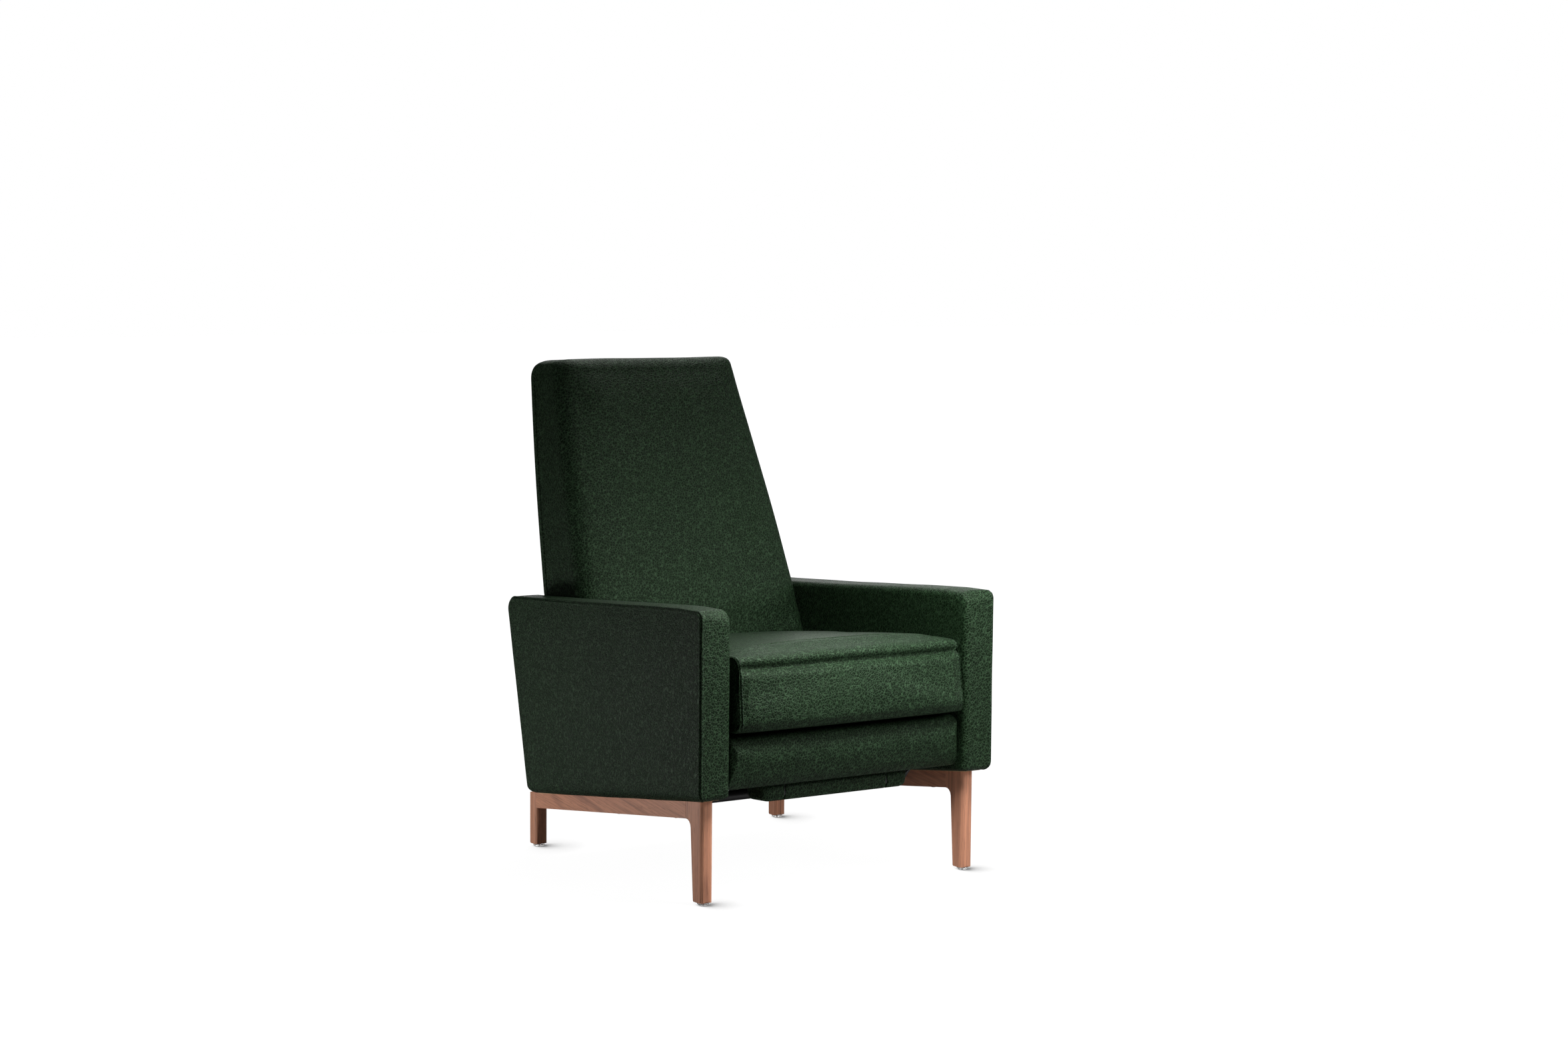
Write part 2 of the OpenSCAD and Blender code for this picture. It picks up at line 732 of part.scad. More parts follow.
back_wall = 10;
back_corner_r = 36;
back_top_fall = 8;
panel_t = 5;
back_wood_t = 40;
back_rail_w = 24;
back_recess = panel_t + back_wood_t + 3 * seat_c;
back_notch_z = seat_rear_z - 55;
back_skin = 6;
back_outline = [
    [back_rear(back_low_z) - back_recess - back_skin, back_low_z],
    [back_rear(back_low_z), back_low_z],
    [back_rear(back_top_z - back_top_fall), back_top_z - back_top_fall],
    [back_front(back_top_z), back_top_z],
    [back_front(seat_rear_z + 3), seat_rear_z + 3],
    [back_front(seat_rear_z + 3) + 14, back_notch_z + 12],
    [back_rear(back_notch_z) - back_recess - back_skin, back_notch_z]
];
back_radii = [3, 8, back_corner_r, 26, 22, 14, 8];
back_parts = [1, 7, 1, 6, 1, 1, 1];
// insets of bottom, rear, top, front, lower front, notch and hidden front at a side edge
back_edge_e = [6, 12, 20, 36, 20, 8, 1];
back_edge_w = 34;
function back_ring(s, dx, f) =
    let (pts = inset(back_outline, [for (e = back_edge_e) e * f]))
    [for (p = rounded(pts, [for (r = back_radii) max(2, r * (1 - 0.35 * f))], back_parts))
        let (
            half = back_half(p[1]) - dx,
            u = half * s / back_half_w,
            front = p[0] < back_rear(p[1]) - back_t / 2 ? part_of(p[1] - seat_rear_z, 60) : 0
        )
        [s * half, p[0] - back_crown * (1 - u * u) * front, p[1]]];
// slab that lies d0 to d1 in front of the back's rear face, between heights z0 and z1
module back_slab(d0, d1, z0, z1, x0, x1) {
    side_prism([
        [back_rear(z0) - d1, z0], [back_rear(z0) - d0, z0],
        [back_rear(z1) - d0, z1], [back_rear(z1) - d1, z1]
    ], x0, x1);
}
// the shape inside the back's sides, m inwards from them, seen from the front
module back_shield(m, z0, z1) {
    translate([0, far, 0]) rotate([90, 0, 0]) linear_extrude(far) polygon([
        [-back_half(z0) + m, z0], [back_half(z0) - m, z0],
        [back_half(back_ref_z) - m, back_ref_z], [back_half(z1) - m, z1],
        [-back_half(z1) + m, z1], [-back_half(back_ref_z) + m, back_ref_z]
    ]);
}
back_wood_z0 = back_low_z + 8;
back_wood_z1 = back_top_z - 60;
bracket_side = layer_x(swing_layer) - seat_c;
back_wood_m = back_half_w - bracket_side;
module back_cushion() {
    z1 = back_wood_z1 + seat_c;
    place() color(leather) difference() {
        loft([for (s = stations([-0.5, 0, 0.5]))
            abs(s[0]) < 1 ? back_ring(s[0], 0, 0) : back_ring(s[0], back_edge_w * s[1], s[2])]);
        intersection() {
            back_slab(-back_corner_r, back_recess, back_low_z - back_corner_r, z1, -far, far);
            back_shield(back_wall, back_low_z - back_corner_r, z1);
        }
        both_sides() slab(
            [bracket_side - past, seat_d, 0],
            [back_half_w - back_wall, far, back_notch_z + 10]
        );
    }
}
module back_side_rails() {
    d = panel_t + seat_c;
    place() color(pine) difference() {
        intersection() {
            back_slab(d, d + back_wood_t, back_wood_z0, back_wood_z1, -far, far);
            difference() {
                back_shield(back_wood_m, back_wood_z0 - past, back_wood_z1 + past);
                back_shield(back_wood_m + back_rail_w, back_wood_z0 - 2 * past, back_wood_z1 + 2 * past);
            }
        }
        both_sides() for (p = back_bolts)
            rod(p, bolt_r + pin_c, bracket_side - back_bolt_l - past, bracket_side + past);
    }
}
back_cross_h = 40;
back_cross_t = 20;
back_cross_zs = [back_wood_z0, seat_rear_z + 23, back_wood_z1 - back_cross_h];
module back_cross_rails() {
    d = panel_t + seat_c;
    place() color(pine) for (z = back_cross_zs) intersection() {
        back_slab(d, d + back_cross_t, z, z + back_cross_h, -far, far);
        back_shield(back_wood_m + back_rail_w + 2 * butt_c, back_wood_z0 - past, back_wood_z1 + past);
    }
}
back_spring_zs = [for (t = [0.02, 0.26, 0.5, 0.7]) back_ref_z + t * (back_top_z - back_ref_z)];
module back_springs() {
    front = panel_t + back_wood_t - 2 * spring_wire;
    place() color(zinc) for (z = back_spring_zs) {
        l = 2 * (back_half(z + spring_w) - back_wood_m - back_rail_w - spring_end);
        translate([-l / 2, back_rear(z) - front, z])
            rotate([90 - rear_lean, 0, 0]) rotate([0, 0, -90])
                linear_extrude(2 * spring_wire) polygon(serpentine(l, spring_w, spring_pitch, spring_wire));
    }
}
module outside_back_panel() {
    m = back_wall + seat_c;
    place() color(leather) intersection() {
        back_slab(0, panel_t, back_low_z + 2, back_wood_z1, -far, far);
        back_shield(m, 0, back_wood_z1 + seat_c);
    }
}
back_bolt_l = 18;
bracket_eye_r = 14;
back_bolts = [for (z = [back_pivot[1] - 12, back_pivot[1] + 42]) [back_rear(z) - panel_t - back_wood_t / 2, z]];
module back_bracket_right() {
    a = back_bolts[0];
    b = back_bolts[1];
    place() color(steel) difference() {
        union() {
            rod(back_pivot, bracket_eye_r, layer_x(swing_layer), layer_x(swing_layer) + plate_t);
            plate(rounded(
                [
                    back_pivot - [0, bracket_eye_r], a - [8, 20], a + [12, -12],
                    b + [13, 10], b + [-12, 14], back_pivot + [0, bracket_eye_r]
                ],
                [0.5, 8, 6, 6, 6, 0.5]
            ), swing_layer);
        }
        pin_hole(back_pivot, swing_layer);
        for (p = back_bolts) pin_hole(p, swing_layer, bolt_r);
    }
}
module back_bracket_left() {
    left_side() back_bracket_right();
}
module back_bracket_bolts() {
    x = layer_x(swing_layer) + plate_t + 2 * butt_c;
    place() color(zinc) both_sides() for (p = back_bolts) {
        rod(p, bolt_head_r, x, x + bolt_head_t);
        rod(p, bolt_r, bracket_side - back_bolt_l, x + past);
    }
}

// Footrest

module footrest_rear_links() {
    ends = [rear_link_root, outer_rear];
    place() color(steel) both_sides() link(ends[0], ends[1], swing_layer, ends);
}
module footrest_front_links() {
    place() color(steel) both_sides()
        link(front_link_root, outer_mid, swing_layer, [front_link_root, brace_root, outer_mid]);
}
module brace_link_pins() {
    place() color(zinc) both_sides() pivot_pin(brace_root, swing_layer, brace_layer);
}
module footrest_outer_links() {
    place() color(steel) both_sides() difference() {
        union() {
            link(outer_rear, outer_mid, outer_layer, []);
            link(outer_mid, bracket_low, outer_layer, []);
        }
        for (p = [outer_rear, outer_mid, bracket_low]) pin_hole(p, outer_layer);
    }
}
footrest_tube = (outer_rear + outer_mid) / 2 + [0, 3];
module footrest_cross_tube() {
    half = layer_x(outer_layer) - 2 * butt_c;
    place() color(steel) difference() {
        rod(footrest_tube, tube_r, -half, half);
        rod(footrest_tube, tube_r - tube_wall, -half - past, half + past);
    }
}
module outer_link_pins() {
    place() color(zinc) both_sides() for (p = [outer_rear, outer_mid]) pivot_pin(p, swing_layer, outer_layer);
}
module footrest_brace_links() {
    place() color(steel) both_sides() link(brace_root, bracket_high, brace_layer, [brace_root, bracket_high]);
}
pad_z1 = seat_low_z - pad_gap;
pad_z0 = pad_z1 - pad_h;
pad_half = arm_in_x - 6;
board_y0 = pad_t + seat_c;
board_y1 = board_y0 + board_t;
board_m = 9;
board_half = layer_x(swing_layer) - seat_c - head_t - 2;
module footrest_board() {
    place() color(pine) difference() {
        slab([-board_half, board_y0, pad_z0 + board_m], [board_half, board_y1, pad_z1 - board_m]);
        both_sides() for (p = concat(footrest_screws_at, flip_screws_at)) board_screw_hole(p);
    }
}
// short screws into the footrest board, from behind
short_screw_r = 2.2;
short_screw_l = 13;
wing_t = 2.6;
module board_screw_hole(p) {
    translate([p[0], board_y1 - short_screw_l, p[1]])
        rotate([-90, 0, 0]) cylinder(r = short_screw_r + pin_c, h = 2 * short_screw_l);
}
module footrest_screws() {
    y = board_y1 + seat_c + wing_t + 2 * butt_c;
    place() color(zinc) both_sides() for (p = concat(footrest_screws_at, flip_screws_at))
        translate([p[0], y, p[1]]) rotate([90, 0, 0]) rotate_extrude() polygon([
            [0, -1.6], [2.5, -1.5], [4, 0], [short_screw_r, 0],
            [short_screw_r, short_screw_l - past], [0, short_screw_l]
        ]);
}
pad_outline = [[0, pad_z0], [pad_t, pad_z0], [pad_t, pad_z1], [0, pad_z1]];
function pad_ring(pts, radii, x, u, e, f, crown, face) = [
    for (p = rounded(inset(pts, [for (v = e) v * f]), [for (r = radii) max(2, r * (1 - 0.4 * f))]))
        [x, p[0] + crown * (1 - u * u) * (abs(p[0] - face) < 16 ? (face < 30 ? -1 : 1) : 0), p[1]]
];
module footrest_pad() {
    w = 16;
    place() color(leather) loft([for (s = stations([-0.7, 0, 0.7]))
        let (x = abs(s[0]) < 1 ? s[0] * pad_half : s[0] * (pad_half - w * s[1]))
        pad_ring(pad_outline, [14, 3, 3, 16], x, x / pad_half, [9, 1, 9, 12], s[2], 4, 0)]);
}
footrest_screws_at = [for (z = [pad_z0 + 26, pad_z1 - 26]) [layer_x(bracket_layer) - 14, z]];
module footrest_bracket_right() {
    y0 = board_y1 + seat_c;
    x1 = layer_x(bracket_layer) + plate_t;
    place() color(steel) difference() {
        union() {
            plate(rounded(
                [
                    [y0, bracket_low[1] - 4], [bracket_low[0] - 2, bracket_low[1] - 10],
                    [bracket_low[0] + 10, bracket_low[1] + 2], [bracket_high[0] + 10, bracket_high[1] + 12],
                    [y0 + 8, pad_z1 - 14], [y0, pad_z1 - 14]
                ],
                [1, 8, 8, 8, 3, 1]
            ), bracket_layer);
            slab([x1 - 28, y0, pad_z0 + 14], [x1, y0 + wing_t, pad_z1 - 14]);
        }
        for (p = [bracket_low, bracket_high]) pin_hole(p, bracket_layer);
        for (p = footrest_screws_at) board_screw_hole(p);
    }
}
module footrest_bracket_left() {
    left_side() footrest_bracket_right();
}
module footrest_bracket_pins() {
    place() color(zinc) both_sides() {
        pivot_pin(bracket_low, outer_layer, bracket_layer);
        pivot_pin(bracket_high, brace_layer, bracket_layer);
    }
}

// Flip-out pad, folded behind the footrest: it turns half round about the hinge pins

flip_z0 = pad_z0 - flip_drop;
flip_z1 = flip_z0 + flip_h;
flip_y0 = board_y1 + 4.7;
flip_gap = 6;
flip_eye_r = 7;
flip_pivot = [flip_y0 - flip_eye_r - 1, (flip_z0 + pad_z0 - flip_gap) / 2];
flip_board_t = 10;
flip_arm_x = 2 * flip_half_w / 3;
hinge_t = 3;
flip_plate_x = flip_arm_x + hinge_t + 1.6;
flip_pin_r = 3;
wing_l = 16;
flip_screws_at = [[flip_plate_x + hinge_t + wing_l / 2, pad_z0 + 34]];
module flip_hinge_plates() {
    y0 = board_y1 + seat_c;
    y1 = y0 + wing_t;
    under = pad_z0 + board_m - 1;
    place() color(steel) both_sides() difference() {
        union() {
            rod(flip_pivot, flip_eye_r, flip_plate_x, flip_plate_x + hinge_t);
            side_prism([
                [flip_pivot[0] - flip_eye_r, flip_pivot[1]], [flip_pivot[0] + flip_eye_r, flip_pivot[1]],
                [y1, under], [y1, under + 40], [y0, under + 40], [y0, under], [y0 - 8, under - 5]
            ], flip_plate_x, flip_plate_x + hinge_t);
            slab([flip_plate_x, y0, under + 4], [flip_plate_x + hinge_t + wing_l, y1, under + 40]);
        }
        rod(flip_pivot, flip_pin_r + pin_c, flip_plate_x - past, flip_plate_x + hinge_t + past);
        for (p = flip_screws_at) board_screw_hole(p);
    }
}
module flip_hinge_pins() {
    x1 = flip_plate_x + hinge_t;
    place() color(zinc) both_sides() {
        rod(flip_pivot, flip_pin_r, flip_arm_x - seat_c, x1 + past);
        rod(flip_pivot, flip_pin_r + 2.5, x1 + seat_c, x1 + seat_c + 1.7);
    }
}
flip_wing_y = flip_y0 - seat_c - wing_t;
flip_arm_screw_dzs = [42, 72];
flip_arm_screw_zs = [for (dz = flip_arm_screw_dzs) flip_z0 + dz];
module flip_hinge_arms() {
    z1 = flip_z0 + 84;
    place() color(steel) both_sides() difference() {
        union() {
            rod(flip_pivot, flip_eye_r, flip_arm_x, flip_arm_x + hinge_t);
            side_prism([
                flip_pivot + [-flip_eye_r, 0], flip_pivot + [flip_eye_r, 0],
                [flip_wing_y + wing_t, flip_pivot[1] + 10], [flip_wing_y + wing_t, z1],
                [flip_wing_y, z1], [flip_wing_y, flip_pivot[1] + 22]
            ], flip_arm_x, flip_arm_x + hinge_t);
            slab(
                [flip_arm_x - wing_l, flip_wing_y, flip_z0 + 32],
                [flip_arm_x + hinge_t, flip_wing_y + wing_t, z1]
            );
        }
        rod(flip_pivot, flip_pin_r + pin_c, flip_arm_x - past, flip_arm_x + hinge_t + past);
        for (z = flip_arm_screw_zs) flip_arm_screw_axis(z)
            cylinder(r = short_screw_r + pin_c, h = short_screw_l);
    }
}
module flip_arm_screw_axis(z) {
    translate([flip_arm_x - wing_l / 2, flip_wing_y - past, z]) rotate([-90, 0, 0]) children();
}
module flip_arm_screws() {
    place() color(zinc) both_sides() for (z = flip_arm_screw_zs) flip_arm_screw_axis(z)
        rotate_extrude() polygon([
        [0, -0.4], [4, -0.3], [4, 0.9], [short_screw_r, 0.9],
        [short_screw_r, short_screw_l - 2.5], [0, short_screw_l - 1.5]
    ]);
}
module flip_board() {
    m = 7;
    place() color(pine) difference() {
        slab(
            [-flip_half_w + m, flip_y0, flip_z0 + m],
            [flip_half_w - m, flip_y0 + flip_board_t, flip_z1 - m]
        );
        both_sides() for (z = flip_arm_screw_zs)
            flip_arm_screw_axis(z) cylinder(r = short_screw_r + pin_c, h = short_screw_l + 0.6);
    }
}
flip_outline = [
    [flip_y0 + flip_board_t + seat_c, flip_z0], [flip_y0 + flip_t, flip_z0],
    [flip_y0 + flip_t, flip_z1], [flip_y0 + flip_board_t + seat_c, flip_z1]
];
module flip_pad() {
    w = 16;
    place() color(leather) loft([for (s = stations([-0.6, 0, 0.6]))
        let (x = abs(s[0]) < 1 ? s[0] * flip_half_w : s[0] * (flip_half_w - w * s[1]))
        pad_ring(flip_outline, [3, 12, 12, 3], x, x / flip_half_w, [9, 9, 9, 1], s[2], 3, flip_y0 + flip_t)]);
}

// The origin is in the middle of the chair's footprint, from the seat's front to the back's top corner
centre_y = (
    min([for (p = seat_ring(0, 0)) p[1]])
    + max([for (p = rounded(back_outline, back_radii, back_parts)) p[0]])
) / 2;

arm_panel_left();
arm_panel_right();
arm_cover_left();
arm_cover_right();
front_leg_left();
front_leg_right();
rear_leg_left();
rear_leg_right();
side_rail_left();
side_rail_right();
leg_glides();
rail_bolts();
rear_stretcher();
base_plate_left();
base_plate_right();
base_plate_bolts();
base_cross_tube();
base_pivot_pins();
front_carrier_links();
rear_carrier_links();
seat_plate_left();
seat_plate_right();
seat_plate_screws();
seat_pivot_pins();
seat_side_rails();
seat_cross_rails();
seat_springs();
seat_dust_cover();
seat_cushion();
back_side_rails();
back_cross_rails();
back_springs();
back_cushion();
outside_back_panel();
back_bracket_left();
back_bracket_right();
back_bracket_bolts();
footrest_rear_links();
footrest_front_links();
brace_link_pins();
footrest_outer_links();
footrest_cross_tube();
outer_link_pins();
footrest_brace_links();
footrest_board();
footrest_pad();
footrest_bracket_left();
footrest_bracket_right();
footrest_bracket_pins();
footrest_screws();
flip_hinge_plates();
flip_hinge_pins();
flip_board();
flip_pad();
flip_hinge_arms();
flip_arm_screws();
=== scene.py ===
import math

import bpy
import numpy as np
from mathutils import Matrix


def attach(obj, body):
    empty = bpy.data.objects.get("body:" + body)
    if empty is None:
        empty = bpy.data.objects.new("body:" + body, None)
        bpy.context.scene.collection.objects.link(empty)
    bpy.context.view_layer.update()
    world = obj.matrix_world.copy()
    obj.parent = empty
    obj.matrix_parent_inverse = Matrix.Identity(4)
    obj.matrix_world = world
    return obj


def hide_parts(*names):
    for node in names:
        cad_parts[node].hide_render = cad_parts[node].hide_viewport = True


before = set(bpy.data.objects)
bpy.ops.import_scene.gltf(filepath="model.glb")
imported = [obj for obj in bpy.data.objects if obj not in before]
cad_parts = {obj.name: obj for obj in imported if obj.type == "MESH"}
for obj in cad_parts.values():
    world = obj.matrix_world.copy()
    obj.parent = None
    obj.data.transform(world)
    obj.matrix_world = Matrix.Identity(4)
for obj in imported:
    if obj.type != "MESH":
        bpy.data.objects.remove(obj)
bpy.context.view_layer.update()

# Walnut legs and side rails.
# Solid walnut, oiled. Each rail runs between a front and a rear leg, is bolted up into the
# arm, and its grain follows the slope of the rail, while the legs' grain stands upright.


class Wire:
    """An output socket. Arithmetic on it adds Math nodes to its tree."""

    def __init__(self, tree, socket):
        self.tree = tree
        self.socket = socket

    def math(self, operation, *operands):
        """Result of a Math node on the operands, wires or numbers, in their order."""
        step = self.tree.nodes.new("ShaderNodeMath")
        step.operation = operation
        for slot, value in zip(step.inputs, operands):
            if isinstance(value, Wire):
                self.tree.links.new(value.socket, slot)
            else:
                slot.default_value = value
        return Wire(self.tree, step.outputs[0])

    def __add__(self, other):
        return self.math("ADD", self, other)

    __radd__ = __add__

    def __rsub__(self, other):
        return self.math("SUBTRACT", other, self)

    def __mul__(self, other):
        return self.math("MULTIPLY", self, other)

    __rmul__ = __mul__

    def __pow__(self, other):
        return self.math("POWER", self, other)

    def capped(self, most):
        """The lesser of this wire and a number."""
        return self.math("MINIMUM", self, most)

    def fade(self, low, high):
        """0 below low, 1 above high, smooth between; falling where low is above high."""
        step = self.tree.nodes.new("ShaderNodeMapRange")
        step.interpolation_type = "SMOOTHSTEP"
        self.tree.links.new(self.socket, step.inputs["Value"])
        step.inputs["From Min"].default_value = min(low, high)
        step.inputs["From Max"].default_value = max(low, high)
        step.inputs["To Min"].default_value = 0.0 if low < high else 1.0
        step.inputs["To Max"].default_value = 1.0 if low < high else 0.0
        return Wire(self.tree, step.outputs[0])


class Finish:
    """A material that starts as one Principled surface."""

    def __init__(self, name):
        self.material = bpy.data.materials.new(name)
        self.material.use_nodes = True
        self.tree = self.material.node_tree
        self.surface = self.tree.nodes["Principled BSDF"]

    def node(self, kind, settings=None, inputs=None, out=0):
        """New node of a kind, with its settings made first and its sockets set or linked."""
        made = self.tree.nodes.new("ShaderNode" + kind)
        for word, value in (settings or {}).items():
            if word == "stops":
                ramp = made.color_ramp.elements
                while len(ramp) < len(value):
                    ramp.new(0.5)
                for stop, (place, shade) in zip(ramp, value):
                    stop.position = place
                    stop.color = (*shade, 1.0)
            else:
                setattr(made, word, value)
        for word, value in (inputs or {}).items():
            self.put(made.inputs[word], value)
        return Wire(self.tree, made.outputs[out])

    def put(self, slot, value):
        """Links a wire to a socket, or sets the socket's value."""
        if isinstance(value, Wire):
            self.tree.links.new(value.socket, slot)
        elif isinstance(value, tuple) and len(value) == 3 and slot.type == "RGBA":
            slot.default_value = (*value, 1.0)
        else:
            slot.default_value = value

    def set(self, **sockets):
        """Principled sockets by name, with _ for a space."""
        for word, value in sockets.items():
            self.put(self.surface.inputs[word.replace("_", " ")], value)
        return self

    def place(self):
        """Object coordinates, in metres."""
        return self.node("TexCoord", out=3)

    def noise(self, at, scale, detail=2.0, rough=0.5, out=0):
        """Noise of a number of cells to the metre, as a value or, from output 1, as a colour."""
        inputs = {"Vector": at, "Scale": scale, "Detail": detail, "Roughness": rough}
        return self.node("TexNoise", inputs=inputs, out=out)

    def mapped(self, at, turn=(0.0, 0.0, 0.0), scale=(1.0, 1.0, 1.0), kind="POINT"):
        """Coordinates turned and scaled, so that a pattern lies along the grain."""
        inputs = {"Vector": at, "Rotation": turn, "Scale": scale}
        return self.node("Mapping", {"vector_type": kind}, inputs)

    def mix(self, amount, low, high):
        """Colour that goes from low to high with the amount."""
        inputs = {0: amount, 6: low, 7: high}
        return self.node("Mix", {"data_type": "RGBA"}, inputs, out=2)

    def bump(self, height, depth, strength):
        """Normals tilted by the slope of a height that is depth metres from 0 to 1."""
        return self.node("Bump", inputs={"Height": height, "Distance": depth, "Strength": strength})


WALNUT_LIGHT = (0.640, 0.290, 0.172)
WALNUT_DARK = (0.305, 0.134, 0.084)
RAIL_SLOPE = 7.5


def walnut(name, turn):
    """Oiled walnut, its grain turned from upright.

    The growth rings are the contour lines of a noise drawn out along the grain, and the pores
    are short dark dashes in it.
    """
    wood = Finish(name)
    along = wood.mapped(wood.place(), turn=turn)
    figure = wood.noise(wood.mapped(along, scale=(1.0, 1.0, 0.09)), 13.0, 2.0, 0.45)
    waves = figure * 15.0
    rings = waves.math("PINGPONG", waves, 1.0)
    wander = wood.noise(wood.mapped(along, scale=(1.0, 1.0, 0.03)), 60.0, 3.0, 0.6)
    pores = wood.noise(wood.mapped(along, scale=(1.0, 1.0, 0.025)), 950.0, 2.0, 0.6)
    streak = wood.noise(wood.mapped(along, scale=(1.0, 1.0, 0.012)), 330.0, 2.0, 0.6)
    line = rings.fade(0.62, 0.98) * wander.fade(0.3, 0.62)
    dash = pores.fade(0.56, 0.70)
    shade = line * 0.50 + streak.fade(0.38, 0.68) * 0.38 + wander.fade(0.45, 0.75) * 0.22
    body = wood.mix(shade, WALNUT_LIGHT, WALNUT_DARK)
    pore_colour = tuple(0.45 * c for c in WALNUT_DARK)
    wood.set(
        Base_Color=wood.mix(dash * 0.55, body, pore_colour),
        Roughness=dash * 0.15 + streak * 0.12 + 0.42,
        Specular_IOR_Level=0.35,
        Normal=wood.bump(1.0 - dash, 0.00012, 0.5),
    )
    return wood.material


leg_wood = walnut("walnut_upright", (0.0, 0.0, 0.0))
rail_wood = walnut("walnut_along_rail", (math.radians(90.0 - RAIL_SLOPE), 0.0, 0.0))


def dress(material, *nodes):
    """Gives one material to every slot of the named nodes."""
    for name in nodes:
        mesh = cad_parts[name].data
        mesh.materials.clear()
        mesh.materials.append(material)


for side in ("left", "right"):
    dress(leg_wood, "front_leg_" + side, "rear_leg_" + side)
    dress(rail_wood, "side_rail_" + side)
dress(walnut("walnut_across", (0.0, math.radians(90.0), 0.0)), "rear_stretcher")

# Clear glides.
# A clear plastic disc under each leg, turned and nailed up into the end grain with a
# plated nail whose shank runs through the middle of the disc.
ORIGIN_Y = 438.178
GLIDE_R = 12.0
GLIDE_TOP = 5.95
GLIDES = [(side * x, y) for side in (-1, 1) for x, y in ((323.5, 45.0), (311.5, 721.5))]


def metres(points):
    """Millimetres from the arms' front plane into the frame's metres."""
    return (np.asarray(points, float) - [0.0, ORIGIN_Y, 0.0]) / 1000.0


def tube(rows, around):
    """Quads between neighbouring rows of points that close around."""
    i, j = np.meshgrid(np.arange(rows - 1), np.arange(around), indexing="ij")
    k = (j + 1) % around
    quads = np.stack([i * around + j, i * around + k, (i + 1) * around + k, (i + 1) * around + j], 2)
    return quads.reshape(-1, 4)


def skin_faces(rings, around):
    """Quads between neighbouring rings, and a fan on a middle point at each end."""
    j = np.arange(around)
    k = (j + 1) % around
    low = np.stack([np.full(around, rings * around), k, j], 1)
    last = (rings - 1) * around
    high = np.stack([np.full(around, rings * around + 1), last + j, last + k], 1)
    return tube(rings, around).tolist() + low.tolist() + high.tolist()


def piece(name, points, faces, material, body, smooth=True):
    """Mesh object from points in metres and faces, at the origin, riding on its body."""
    mesh = bpy.data.meshes.new(name)
    mesh.from_pydata(np.asarray(points).tolist(), [], [list(f) for f in faces])
    mesh.polygons.foreach_set("use_smooth", [smooth] * len(mesh.polygons))
    mesh.materials.append(material)
    mesh.update()
    made = bpy.data.objects.new(name, mesh)
    bpy.context.scene.collection.objects.link(made)
    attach(made, body)
    return made


def turned(profile, centres, steps=32):
    """Points [r, z] of a profile carried round each centre; the profile starts and ends on the axis."""
    profile = np.asarray(profile, float)
    angle = np.linspace(0.0, 2.0 * np.pi, steps, endpoint=False)
    circle = np.stack([np.cos(angle), np.sin(angle)], 1)
    count = len(profile) - 2
    points, faces = [], []
    for cx, cy in centres:
        start = sum(len(p) for p in points)
        wall = np.zeros((count, steps, 3))
        wall[:, :, :2] = profile[1:-1, 0, None, None] * circle + [cx, cy]
        wall[:, :, 2] = profile[1:-1, 1, None]
        ends = [[cx, cy, profile[0, 1]], [cx, cy, profile[-1, 1]]]
        points.append(np.concatenate([wall.reshape(-1, 3), ends]))
        faces += [[start + corner for corner in face] for face in skin_faces(count, steps)]
    return np.concatenate(points), faces


clear = Finish("clear_glide")
haze = clear.noise(clear.place(), 700.0, 2.0)
clear.set(
    Base_Color=clear.mix(haze, (0.80, 0.80, 0.79), (0.90, 0.90, 0.89)),
    Roughness=haze * 0.15 + 0.08,
    Transmission_Weight=0.75,
    IOR=1.46,
)
disc = [
    (0.0, 0.0), (GLIDE_R - 4.0, 0.0), (GLIDE_R - 2.4, 0.25), (GLIDE_R - 0.8, 1.3), (GLIDE_R - 0.2, 2.4),
    (GLIDE_R, 3.2), (GLIDE_R, 4.4), (GLIDE_R - 0.5, 5.4), (GLIDE_R - 1.4, GLIDE_TOP),
    (2.2, GLIDE_TOP), (0.0, GLIDE_TOP),
]
points, faces = turned(disc, GLIDES)
glides = piece("clear_glides", metres(points), faces, clear.material, "base")
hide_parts("leg_glides")

zinc = Finish("zinc_plate")
brush = zinc.noise(zinc.place(), 900.0, 3.0, 0.7)
tarnish = zinc.noise(zinc.place(), 60.0, 2.0)
zinc.set(
    Base_Color=zinc.mix(tarnish, (0.50, 0.50, 0.49), (0.66, 0.66, 0.67)),
    Metallic=1.0,
    Roughness=brush * 0.2 + 0.22,
    Normal=zinc.bump(brush, 0.00005, 0.4),
)
nail = [(0.0, 0.6), (3.6, 0.6), (4.0, 1.0), (3.8, 1.6), (1.7, 1.9), (1.6, 2.4), (1.6, 18.0), (0.0, 20.0)]
points, faces = turned(nail, GLIDES, 20)
piece("glide_nails", metres(points), faces, zinc.material, "base")

# Arm timber, seat frame, back frame and footrest boards.
# Plain sawn softwood, glued and screwed, seen only from below and from behind when the
# chair is open. The boards' grain runs across the chair, the rails' along them.


def sawn(name, turn):
    """Pale timber: soft bands along the grain and fine saw marks across it."""
    wood = Finish(name)
    along = wood.mapped(wood.place(), turn=turn)
    bands = wood.noise(wood.mapped(along, scale=(1.0, 1.0, 0.05)), 45.0, 3.0, 0.6)
    marks = wood.noise(wood.mapped(along, scale=(0.05, 0.05, 1.0)), 420.0, 1.0)
    wood.set(
        Base_Color=wood.mix(bands.fade(0.35, 0.7), (0.60, 0.42, 0.235), (0.42, 0.26, 0.13)),
        Roughness=marks * 0.1 + 0.65,
        Normal=wood.bump(bands + marks * 0.4, 0.0002, 0.5),
    )
    return wood.material


